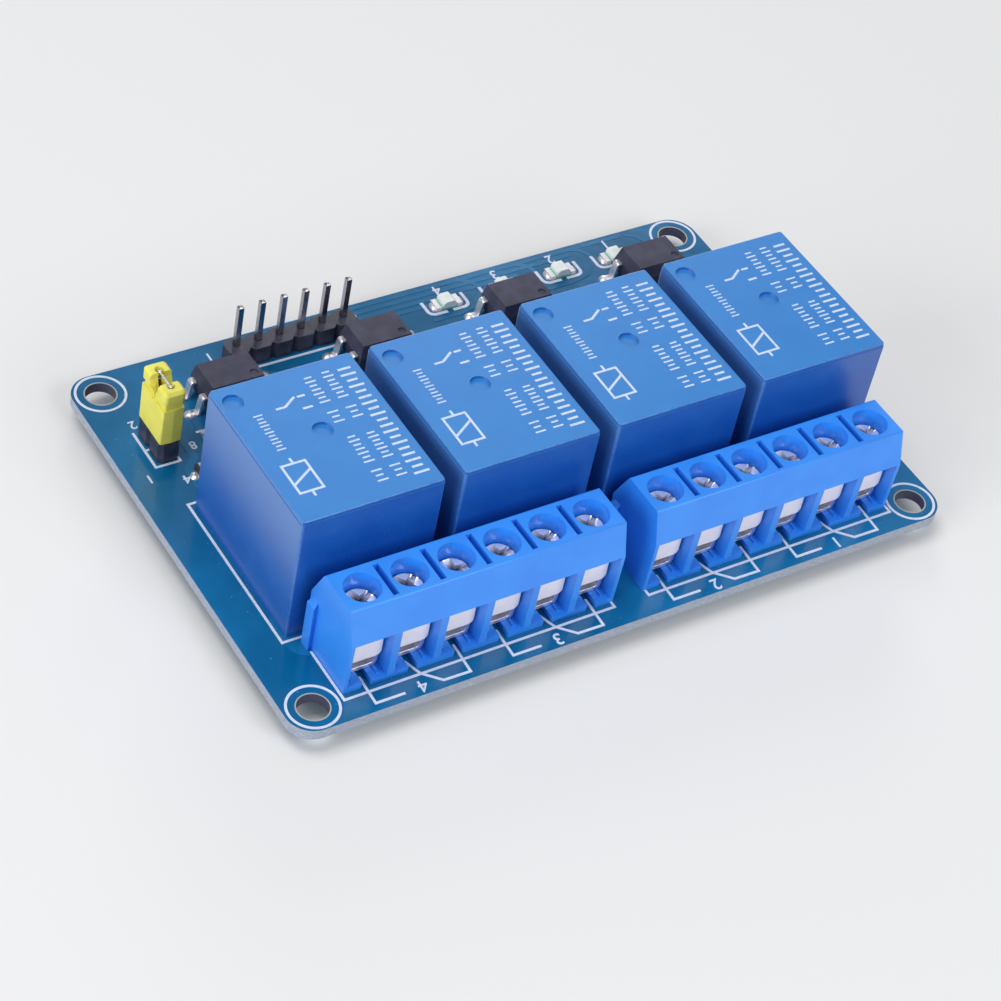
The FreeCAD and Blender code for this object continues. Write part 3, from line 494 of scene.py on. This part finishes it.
for side_x in (-1, 1):
    for side_y in (-1, 1):
        ring(side_x * hole_x, side_y * hole_y)
for number, relay_x in enumerate(relay_xs):
    near, middle, far = pole_xs[3 * number:3 * number + 3]
    label = str(4 - number)
    stroke([(near - 0.1, port_front), (near - 0.2, -24.71), (near + 3.0, -24.72)], extra=ink_step)
    stroke([(far + 0.15, port_front), (far, -24.81), (far - 2.95, -24.76), (middle + 0.48, -23.14),
            (middle - 0.23, port_front)], extra=ink_step)
    add_number(label, middle - 0.1, -24.55, 2.0)
    left = relay_x - relay_half.x - 0.55
    right = relay_x + relay_half.x + 0.55
    front = relay_front - 0.5
    back = relay_middle.y + relay_half.y + 0.3
    stroke([(left, front), (left, back), (right, back), (right, front), (left, front)])
    led_x = led_xs[number]
    for side in (-1, 1):
        stroke([(led_x + side * 0.36, 20.9), (led_x + side * 1.9, 20.9), (led_x + side * 2.3, 21.1),
                (led_x + side * 2.48, 21.5), (led_x + side * 2.48, 23.1)], led_line)
    add_number(label, led_x + 0.2, 24.35, 1.9)
    add_number(label, relay_x - 6.7, diode_y, 1.6)
    chip_x = relay_x + chip_shifts[0]
    add_number(str(8 - number), chip_x - 2.0, chip_y, 1.5)
    stroke([(chip_x - 0.9, chip_y + 1.5), (chip_x + 0.9, chip_y + 1.5)])
for side in (-1, 1):
    block_x = side * abs(block_span[2].x)
    left = block_x - 15.2
    right = block_x + 15.3
    stroke([(left, block_back), (left, block_front), (right, block_front), (right, block_back)])
stroke([(header_xs[0] - 1.6, 20.5), (header_xs[5] + 1.6, 20.5)], header_line)
left = jumper_middle.x - 1.6
right = jumper_middle.x + 1.1
front = jumper_middle.y - 2.8
stroke([(left, front + 5.3), (left, front), (right, front), (right, front + 0.65)])
stroke([(left, front + 2.55), (left + 0.5, front + 2.55)], extra=ink_step)
add_number("1", left - 1.3, front - 1.2, 1.6)
add_number("2", left + 0.5, jumper_middle.y + 3.6, 1.6)
add_number("1", header_xs[0] - 2.3, 23.7, 1.7)
add_number("6", header_xs[5] + 2.3, 23.7, 1.7)
add_piece("board_print", ink, white_print, "module")


# Solder under the board
# Wave soldered joints: a tinned ring on the board and a bright fillet that climbs each pin, hollow
# towards its foot. They replace the plain cones.

solder_low = span("solder_joints")[0].z
climb = board_under - solder_low
climb_shares = (0.12, 0.3, 0.5, 0.7, 0.86, 0.97)
hollow = 2.4
pad_width = 0.55
pole_pin = (0.8, 1.0)
contact_pin = (1.0, 0.4)
square_pin = (0.6, 0.6)
pins_below = [(x, pole_y, pole_pin) for x in pole_xs]
for relay_x in relay_xs:
    pins_below.append((relay_x, back_pin_y, contact_pin))
    pins_below += [(relay_x + side * relay_pin_x, front_pin_y, contact_pin) for side in (-1, 1)]
    pins_below += [(relay_x + side * relay_pin_x, coil_pin_y, square_pin) for side in (-1, 1)]
pins_below += [(x, header_pin_y, square_pin) for x in header_xs]
pins_below += [(jumper_middle.x, jumper_middle.y + side * half_pitch, square_pin) for side in (-1, 1)]


def turned(shape, outline, x, y):
    """Solid of revolution on a closed outline of radius and height."""
    verts = [shape.verts.new((x + radius, y, z)) for radius, z in outline]
    edges = [shape.edges.new(pair) for pair in zip(verts, verts[1:])]
    bmesh.ops.spin(shape, geom=verts + edges, cent=(x, y, 0), axis=(0, 0, 1), angle=math.tau, steps=24,
                   use_merge=True, use_duplicate=False)


def solder_look(place):
    flow = place.noise(0.5, 2.0)
    grain = place.noise(0.06, 2.0)
    return {
        "Base Color": flow.fade(0.3, 0.7).colour((0.74, 0.73, 0.78), (0.86, 0.85, 0.89)),
        "Roughness": 0.27 + flow * 0.16,
        "Normal": grain.relief(0.003, flow.relief(0.02)),
    }


bright_solder = finish("bright_solder", solder_look, Metallic=0.85)

fillets = bmesh.new()
for x, y, pin_section in pins_below:
    neck = math.hypot(*pin_section) / 2 + 0.06
    land = neck + 0.06 + pad_width
    curve = [(neck + (land - 0.12 - neck) * share ** hollow, solder_low + climb * share)
             for share in climb_shares]
    foot = [(land - 0.1, board_under - 0.05), (land, board_under - 0.04), (land, board_under + 0.02)]
    closing = [(neck - 0.15, board_under + 0.02), (neck - 0.12, solder_low + 0.08), (neck - 0.03, solder_low)]
    turned(fillets, closing + curve + foot + closing[:1], x, y)
bmesh.ops.remove_doubles(fillets, verts=fillets.verts, dist=0.0005)
solder_piece = add_piece("solder_fillets", fillets, bright_solder, "module", smooth=True)
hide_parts("solder_joints")


# Terminal housings
# Each is one injection moulding in azure plastic, standing on the board on its T feet, with a sloped
# band over six wire ports and a polished bore over each screw.

azure = (0.030, 0.275, 0.92)
azure_deep = (0.018, 0.205, 0.82)
bore_radius = 1.95
bore_low = board_top + 5
pole_pitch = pole_xs[1] - pole_xs[0]


def azure_look(place):
    x, y, z = place.axes()
    flow = place.noise(4.0, 3.0).fade(0.3, 0.75)
    grain = place.noise(0.09, 3.0)
    scratches = place.stretched(1, 6, 6).noise(0.9, 2.0).fade(0.67, 0.71)
    from_axis = abs(x).repeat(pole_xs[6], pole_pitch).beside(y - pole_y)
    bore = (from_axis < bore_radius) * (z > bore_low)
    return {
        "Base Color": (flow * 0.5).colour(azure, azure_deep),
        "Roughness": 0.38 + grain * 0.08 - scratches * 0.06 - bore * 0.2,
        "Normal": scratches.relief(0.002, grain.relief(0.0035)),
    }


azure_plastic = finish("azure_plastic", azure_look, Coat_Weight=0.45, Coat_Roughness=0.3)
dress(["terminal_housing_1", "terminal_housing_2"], azure_plastic, 0.07)


# Clamp bodies of the terminals
# Steel strip folded into a loop, tapped on top and plated with bright tin.

def tin_look(place):
    rolled = place.stretched(1, 1, 9).noise(0.5, 3.0)
    spots = place.noise(0.7, 2.0).fade(0.4, 0.75)
    return {
        "Base Color": spots.colour((0.90, 0.88, 0.91), (0.78, 0.76, 0.80)),
        "Roughness": 0.28 + spots * 0.12 + rolled * 0.06,
        "Normal": rolled.relief(0.003),
    }


bright_tin = finish("bright_tin", tin_look, Metallic=0.85)
dress(["terminal_clamps"], bright_tin, 0.06)


# Wire guards
# The leaf that the screw presses on the wire: plated spring strip with a matt, warm white surface
# and fine upright rolling lines.

def guard_look(place):
    lines = place.stretched(9, 9, 1).noise(0.55, 3.0)
    cloud = place.noise(1.4, 2.0).fade(0.3, 0.75)
    return {
        "Base Color": cloud.colour((0.91, 0.86, 0.90), (0.96, 0.92, 0.96)),
        "Roughness": 0.5 + lines * 0.14,
        "Normal": lines.relief(0.004),
    }


matt_plating = finish("matt_plating", guard_look, Metallic=0.1)
dress(["wire_guard_" + name for name in pole_names], matt_plating, 0.05)


# Terminal screws
# Nickel plated steel with a cross and a slot cut in the sunk head. The bottom of the recess is
# painted dark as painted shade.

head_level = screw_spans[0][1].z
recess_floor = head_level - 0.9
recess_mouth = head_level - 0.2


def nickel_look(place):
    z = place.axes()[2]
    # Painted shade: the recess is painted darker towards its floor.
    deep = 1 - z.fade(recess_floor, recess_mouth)
    grain = place.noise(0.18, 3.0)
    stain = place.noise(0.8, 2.0).fade(0.5, 0.75)
    clean = stain.colour((0.95, 0.92, 0.90), (0.86, 0.83, 0.82))
    return {
        "Base Color": (deep * 0.9).colour(clean, (0.08, 0.078, 0.095)),
        "Roughness": 0.2 + grain * 0.08,
        "Normal": grain.relief(0.005),
    }


bright_nickel = finish("bright_nickel", nickel_look, Metallic=0.6)
dress(["terminal_screw_" + name for name in pole_names], bright_nickel, 0.05)


# Relay covers
# Thin moulded covers in darker blue with a satin surface: faint flow marks, a few pale specks and
# scuffs, a top painted paler as a painted sheen, sides painted paler towards the top as a painted
# sheen, and edges painted paler in patches, partly rubbed wear and partly a painted edge highlight.

relay_top = relay_spans[0][1].z
relay_pitch = relay_xs[1] - relay_xs[0]
relay_height = relay_half.z * 2
cover_blue = (0.004, 0.088, 0.41)
# Paler blue for the top faces: a painted sheen.
cover_top_sheen = (0.014, 0.212, 0.60)
# Pale blue for scuffs and specks, and for the painted sheen on the sides and edges.
scuff_and_sheen_pale = (0.26, 0.52, 0.80)


def from_relay(place):
    """Place measured from the middle of the relay that it is on, and from the board's top."""
    x, y, z = place.axes()
    return x.repeat(relay_xs[0], relay_pitch), y - relay_middle.y, z - board_top


def cover_look(place):
    x, y, z = from_relay(place)
    up = facing(place, 2).fade(0.5, 0.8)
    sideways = facing(place, 0).fade(0.6, 0.9)
    side_gap = relay_half.x - abs(x)
    end_gap = relay_half.y - abs(y)
    on_edge = side_gap.least(end_gap).most(side_gap.most(end_gap).least(relay_height - z))
    fine = place.noise(0.1, 3.0)
    cloud = place.noise(3.5, 4.0, 0.6).fade(0.35, 0.72)
    hairs = place.stretched(5, 5, 1).noise(0.8, 3.0).fade(0.62, 0.7)
    # Edges painted paler in patches: partly rubbed wear, partly a painted edge highlight.
    rubbed_and_edge_highlight = (1 - on_edge.fade(0.02, 0.22)) * place.noise(0.5, 3.0).fade(0.3, 0.6)
    specks = place.noise(0.16, 2.0).fade(0.75, 0.765)
    # Painted sheen: the sides painted paler towards the top.
    painted_side_sheen = sideways * z.fade(relay_height * 0.35, relay_height) * 0.2
    # worn mixes real scuffs, specks and hairlines with the painted side sheen and a painted edge highlight.
    worn = (rubbed_and_edge_highlight * 0.3).most(specks * 0.5).most(hairs * (1 - up) * 0.1).most(painted_side_sheen)
    # The top faces are painted paler than the sides: a painted sheen.
    blue = (cloud * 0.14 + up * 0.82).colour(cover_blue, cover_top_sheen)
    return {
        "Base Color": worn.colour(blue, scuff_and_sheen_pale),
        "Roughness": 0.38 + cloud * 0.08 + fine * 0.06,
        "Normal": fine.relief(0.003),
    }


blue_cover = finish("blue_cover", cover_look, Coat_Weight=0.55, Coat_Roughness=0.28)
dress(["relay_case_" + name for name in relay_names], blue_cover, 0.05)


# Printing on the relay covers
# Pad printed in pale ink: plain rows of strokes, and the general symbols of a coil and of a
# changeover contact.

cover_print_level = relay_top - 0.005
cover_print_height = 0.015
print_rows = [
    (6.0, 1.65, [(-8.1, 7.9)]),
    (4.05, 1.15, [(-7.6, -5.6), (-4.9, -1.0), (0.9, 2.9), (3.8, 8.0)]),
    (2.05, 1.15, [(-7.6, -5.6), (-4.9, -0.8), (0.9, 2.9), (3.8, 7.9)]),
    (-4.9, 0.95, [(-0.4, 4.9)]),
]
stroke_pitch = 0.5
stroke_width = 0.17
stroke_heights = (1.0, 0.7, 1.0, 0.85, 0.7)
symbol_line = 0.26
symbol_step = 0.002
coil_symbol = [[(-1.5, -1.0), (1.5, -1.0), (1.5, 1.0), (-1.5, 1.0), (-1.5, -1.0)],
               [(-0.6, -1.0), (0.6, 1.0)], [(-2.1, 0.0), (-1.5, 0.0)], [(1.5, 0.0), (2.1, 0.0)]]
contact_symbol = [[(0.0, -1.6), (0.0, -0.7), (0.85, 0.6)], [(-0.75, 1.6), (-0.75, 0.65)],
                  [(0.75, 1.6), (0.75, 0.85)]]
symbols = [(coil_symbol, -4.8, -4.1, 1.25), (contact_symbol, -1.1, 4.8, 1.1)]


def cover_print_look(place):
    worn = place.noise(0.4, 3.0).fade(0.2, 0.55)
    return {
        "Base Color": worn.colour((0.42, 0.54, 0.76), (0.58, 0.68, 0.86)),
        "Roughness": 0.46 + worn * 0.1,
        "Normal": place.noise(0.1, 2.0).relief(0.002),
    }


pale_print = finish("pale_print", cover_print_look)

cover_ink = bmesh.new()
for relay_x in relay_xs:
    for row_x, row_width, words in print_rows:
        for start, end in words:
            count = max(2, round((end - start) / (row_width * stroke_pitch)))
            step = (end - start) / count
            for index in range(count):
                y = relay_middle.y + start + (index + 0.5) * step
                reach = row_width * stroke_heights[index % 5] / 2
                ribbon(cover_ink, [(relay_x + row_x - reach, y), (relay_x + row_x + reach, y)],
                       row_width * stroke_width, cover_print_level, cover_print_height)
    for symbol, x, y, scale in symbols:
        for rise, path in enumerate(symbol):
            spots = [(relay_x + x + part_y * scale, relay_middle.y + y + part_x * scale)
                     for part_x, part_y in path]
            ribbon(cover_ink, spots, symbol_line, cover_print_level, cover_print_height + symbol_step * rise)
add_piece("relay_print", cover_ink, pale_print, "module")


# Inside the relays
# A black base with the contact tower, a coil of enamelled copper wire on its bobbin, the plated
# yoke and armature, and brass contact strips.

core_shift = 0.75
winding_radius = 4.4
winding_low = 3.9
winding_high = 10.0
winding_turn = 26
flange_thickness = 0.7
yoke_inside = 5.83
enamelled_copper = (0.48, 0.12, 0.03)
flange_black = (0.03, 0.03, 0.032)


def black_look(place):
    grain = place.noise(0.1, 3.0)
    cloud = place.noise(1.6, 3.0).fade(0.35, 0.7)
    return {
        "Base Color": cloud.colour((0.022, 0.02, 0.026), (0.045, 0.042, 0.052)),
        "Roughness": 0.42 + grain * 0.16,
        "Normal": grain.relief(0.005),
    }


def magnet_look(place):
    x, y, z = from_relay(place)
    wound = (x.beside(y - core_shift) < winding_radius + 0.1) * (z > winding_low) * (z < winding_high)
    near_flange = abs(z - (winding_low + winding_high) / 2) - (winding_high - winding_low) / 2
    flange = (near_flange > 0) * (near_flange < flange_thickness - 0.01) * (y < yoke_inside)
    wires = (z * winding_turn).sine() * wound
    grain = place.noise(0.2, 3.0)
    metal = grain.fade(0.3, 0.7).colour((0.55, 0.53, 0.5), (0.68, 0.66, 0.62))
    return {
        "Base Color": flange.colour(wound.colour(metal, enamelled_copper), flange_black),
        "Metallic": 1 - flange,
        "Roughness": 0.3 + grain * 0.15 + flange * 0.2,
        "Normal": wires.relief(0.06, grain.relief(0.003)),
    }


def brass_look(place):
    grain = place.noise(0.3, 3.0)
    return {
        "Base Color": grain.fade(0.3, 0.7).colour((0.62, 0.44, 0.2), (0.74, 0.55, 0.27)),
        "Roughness": 0.26 + grain * 0.16,
        "Normal": grain.relief(0.004),
    }


black_plastic = finish("black_plastic", black_look)
coil_and_yoke = finish("coil_and_yoke", magnet_look)
plated_brass = finish("plated_brass", brass_look, Metallic=1.0)
dress(["relay_base_" + name for name in relay_names], black_plastic, 0.06)
dress(["relay_magnet_" + name for name in relay_names], coil_and_yoke, 0.05)
dress(["relay_armature_" + name for name in relay_names], bright_tin, 0.03)
dress(["relay_contacts_" + name for name in relay_names], plated_brass, 0.03)


# Optical couplers
# Black moulded packages with a fine spark eroded surface. Their wide tinned leads bend down from the
# parting line to lands on the board.

def package_look(place):
    grain = place.noise(0.12, 4.0, 0.65)
    cloud = place.noise(2.0, 2.0).fade(0.35, 0.7)
    return {
        "Base Color": cloud.colour((0.036, 0.036, 0.068), (0.055, 0.055, 0.100)),
        "Roughness": 0.5 + grain * 0.16,
        "Normal": grain.relief(0.012),
    }


moulded_package = finish("moulded_package", package_look)
dress(["coupler_bodies"], moulded_package, 0.08)
dress(["coupler_leads"], bright_tin, 0.05)


# Indicators
# A white carrier with a milky lens over the chip, a thin green line of mask at each side of the lens,
# and tinned ends.

lens_half = 0.8
lens_low = board_top + 0.3
lens_milky = (0.84, 0.86, 0.86)
lens_green = (0.70, 0.84, 0.76)
carrier_green = (0.16, 0.55, 0.36)


def led_look(place):
    x, y, z = place.axes()
    away = abs(x.repeat(led_xs[0], led_step))
    lens = (away < lens_half + 0.01) * (z > lens_low)
    ends = away.fade(lens_half + 0.2, lens_half + 0.22)
    glow = (1 - away.beside(y - led_middle.y).fade(0.15, 0.6)) * lens
    carrier = ends.colour(carrier_green, (0.78, 0.74, 0.80))
    return {
        "Base Color": lens.colour(carrier, glow.colour(lens_milky, lens_green)),
        "Metallic": ends * 0.6 * (1 - lens),
        "Roughness": 0.34 - lens * 0.14,
        "Normal": place.noise(0.2, 2.0).relief(0.003),
    }


led_finish = finish("led_finish", led_look)
dress(["indicator_leds"], led_finish, 0.05)


# Chip resistors, diodes and transistors
# Ceramic chips with tinned ends, moulded diodes with a pale cathode band, and small transistors on
# three bent legs.

chip_body_half = 0.6
band_shift = diode_shift - 0.85
band_half = 0.22
diode_body_half = 1.36
transistor_body_half = 0.66
small_black = (0.03, 0.028, 0.032)
small_tinned = (0.76, 0.74, 0.77)


def chip_look(place):
    y = place.axes()[1]
    ends = abs(y - chip_y).fade(chip_body_half, chip_body_half + 0.04)
    lid = facing(place, 2).fade(0.6, 0.8)
    ceramic = lid.colour((0.62, 0.62, 0.6), (0.02, 0.02, 0.022))
    return {
        "Base Color": ends.colour(ceramic, (0.78, 0.76, 0.79)),
        "Metallic": ends,
        "Roughness": 0.32 + place.noise(0.3, 2.0) * 0.12,
    }


def diode_look(place):
    x, y, z = from_relay(place)
    band = abs(x - band_shift) < band_half
    away = abs(x - diode_shift)
    tabs = (away > diode_body_half).most(z < 0.3) * (away > 0.9)
    grain = place.noise(0.12, 3.0)
    body = band.colour(small_black, (0.55, 0.55, 0.56))
    return {
        "Base Color": tabs.colour(body, small_tinned),
        "Metallic": tabs,
        "Roughness": 0.42 + grain * 0.14 - tabs * 0.12,
        "Normal": grain.relief(0.006),
    }


def transistor_look(place):
    y = place.axes()[1]
    legs = abs(y - transistor_y) > transistor_body_half
    grain = place.noise(0.12, 3.0)
    return {
        "Base Color": legs.colour(small_black, small_tinned),
        "Metallic": legs,
        "Roughness": 0.46 - legs * 0.2 + grain * 0.12,
        "Normal": grain.relief(0.005),
    }


chip_finish = finish("chip_finish", chip_look)
diode_finish = finish("diode_finish", diode_look)
transistor_finish = finish("transistor_finish", transistor_look)
dress(["chip_resistors"], chip_finish, 0.05)
dress(["coil_diodes"], diode_finish, 0.06)
dress(["drive_transistors"], transistor_finish, 0.05)


# Solder on the board's top
# A soft bright heap at each foot and each tinned end, where the solder drew up from its land.

lead_foot_x = 4.85
lead_heap = (1.5, 1.3, 0.42)
chip_heap = (1.25, 0.9, 0.38)
diode_heap = (1.1, 1.2, 0.3)
leg_heap = (0.8, 0.8, 0.2)
led_heap = (0.9, 1.5, 0.4)
transistor_legs = ((-0.95, -1.15), (0.95, -1.15), (0, 1.15))


def mound(shape, x, y, size):
    """Soft heap of solder on a land: a flattened ball cut off at the board."""
    width, depth, height = size
    spot = Matrix.Translation((x, y, board_top)) @ Matrix.Diagonal((width / 2, depth / 2, height, 1))
    verts = bmesh.ops.create_uvsphere(shape, u_segments=20, v_segments=12, radius=1, matrix=spot)["verts"]
    edges = dict.fromkeys(edge for vert in verts for edge in vert.link_edges)
    faces = dict.fromkeys(face for vert in verts for face in vert.link_faces)
    cut = bmesh.ops.bisect_plane(shape, geom=[*verts, *edges, *faces], plane_co=(0, 0, top_level),
                                 plane_no=(0, 0, -1), clear_outer=True)
    rim = [part for part in cut["geom_cut"] if isinstance(part, bmesh.types.BMEdge)]
    bmesh.ops.edgeloop_fill(shape, edges=rim)


heaps = bmesh.new()
for relay_x in relay_xs:
    for side in (-1, 1):
        for row in (-1, 1):
            lead_x = relay_x + coupler_shift + side * lead_foot_x
            mound(heaps, lead_x, coupler_y + row * half_pitch, lead_heap)
    for shift in chip_shifts:
        for row in (-1, 1):
            mound(heaps, relay_x + shift, chip_y + row * 1.1, chip_heap)
    for side in (-1, 1):
        mound(heaps, relay_x + diode_shift + side * 1.6, diode_y, diode_heap)
    for leg_x, leg_y in transistor_legs:
        mound(heaps, relay_x + transistor_shift + leg_x, transistor_y + leg_y, leg_heap)
for led_x in led_xs:
    for side in (-1, 1):
        mound(heaps, led_x + side * led_half, led_middle.y, led_heap)
add_piece("solder_heaps", heaps, bright_solder, "module", smooth=True)


# Pin headers
# Black moulded strips of square cells with a soft sheen, and square tinned posts pressed through them.

def header_look(place):
    grain = place.noise(0.16, 3.0)
    cloud = place.noise(1.5, 3.0).fade(0.3, 0.7)
    return {
        "Base Color": cloud.colour((0.024, 0.024, 0.042), (0.044, 0.043, 0.072)),
        "Roughness": 0.27 + cloud * 0.1 + grain * 0.06,
        "Normal": grain.relief(0.006),
    }


def post_look(place):
    drawn = place.stretched(8, 8, 1).noise(0.5, 3.0)
    return {
        # The tin is painted darker than bright tin: a painted reflection of dark surroundings.
        "Base Color": drawn.fade(0.3, 0.7).colour((0.30, 0.28, 0.33), (0.50, 0.47, 0.52)),
        "Roughness": 0.2 + drawn * 0.1,
        "Normal": drawn.relief(0.003),
    }


header_plastic = finish("header_plastic", header_look)
tinned_post = finish("tinned_post", post_look, Metallic=1.0)
dress(["input_header_body", "jumper_header_body"], header_plastic, 0.06)
dress(["header_pins"], tinned_post, 0.04)


# Shorting cap
# Soft lemon yellow moulding with two flared heads and a pointed notch, over a gilt sprung contact
# whose top bar is worn to bright metal.

bar_low = span("jumper_clip")[1].z - 0.75


def yellow_look(place):
    flow = place.noise(1.6, 3.0).fade(0.3, 0.75)
    grain = place.noise(0.12, 3.0)
    return {
        "Base Color": flow.colour((0.82, 0.78, 0.13), (0.74, 0.69, 0.09)),
        "Roughness": 0.4 + grain * 0.12,
        "Normal": grain.relief(0.005),
    }


def clip_look(place):
    z = place.axes()[2]
    grain = place.noise(0.3, 3.0)
    gilt = grain.fade(0.3, 0.7).colour((0.66, 0.44, 0.14), (0.82, 0.60, 0.24))
    return {
        "Base Color": z.fade(bar_low - 0.1, bar_low + 0.1).colour(gilt, (0.84, 0.82, 0.84)),
        "Roughness": 0.2 + grain * 0.14,
        "Normal": grain.relief(0.004),
    }


yellow_plastic = finish("yellow_plastic", yellow_look, Subsurface_Weight=0.1, Subsurface_Scale=0.0006)
gilt_contact = finish("gilt_contact", clip_look, Metallic=1.0)
dress(["jumper_cap"], yellow_plastic, 0.09)
dress(["jumper_clip"], gilt_contact, 0.03)


# Floor, lamps and camera
# A plain pale floor under the pin tips, four soft lamps above, behind, at the left and in front, and
# the photograph's point of view.

floor_grey = (0.76, 0.76, 0.76)
sky_colour = (0.95, 0.97, 1.0, 1)
sky_strength = 0.30
warm_light = (1.0, 0.99, 0.98)
cool_light = (0.98, 0.99, 1.0)


def floor_look(place):
    return {"Base Color": floor_grey, "Roughness": 0.9}


floor = bmesh.new()
bmesh.ops.create_grid(floor, x_segments=1, y_segments=1, size=1.5)
floor_mesh = bpy.data.meshes.new("floor")
floor.to_mesh(floor_mesh)
floor.free()
floor_mesh.materials.append(finish("pale_floor", floor_look))
floor_piece = bpy.data.objects.new("floor", floor_mesh)
bpy.context.scene.collection.objects.link(floor_piece)

world = bpy.data.worlds.new("studio")
bpy.context.scene.world = world
world.use_nodes = True
sky = world.node_tree.nodes["Background"]
sky.inputs["Color"].default_value = sky_colour
sky.inputs["Strength"].default_value = sky_strength


def add_lamp(name, place, size, watts, colour):
    """Square soft lamp that faces the middle of the board."""
    lamp = bpy.data.lights.new(name, "AREA")
    lamp.size = size
    lamp.energy = watts
    lamp.color = colour
    holder = bpy.data.objects.new(name, lamp)
    holder.location = place
    holder.rotation_euler = (-Vector(place)).to_track_quat("-Z", "Y").to_euler()
    bpy.context.scene.collection.objects.link(holder)


add_lamp("above", (-0.24, 0.12, 0.84), 0.45, 3.0, warm_light)
add_lamp("behind", (0.44, 0.79, 0.42), 0.40, 1.9, cool_light)
add_lamp("left", (-0.75, -0.15, 0.33), 0.45, 3.3, cool_light)
add_lamp("front", (0.18, -0.70, 0.54), 0.45, 3.4, cool_light)

camera_place = Vector((-0.137764, -0.164299, 0.202491))
camera_forward = Vector((0.46279, 0.55106, -0.69438))
camera_up = Vector((0.26819, 0.65957, 0.70218))
camera_right = camera_forward.cross(camera_up)
lens = bpy.data.cameras.new("camera")
lens.lens = 102.1
lens.sensor_width = 36
camera = bpy.data.objects.new("camera", lens)
turn = Matrix((camera_right, camera_up, -camera_forward)).transposed()
camera.matrix_world = Matrix.Translation(camera_place) @ turn.to_4x4()
bpy.context.scene.collection.objects.link(camera)
bpy.context.scene.camera = camera
bpy.context.scene.view_settings.view_transform = "Standard"
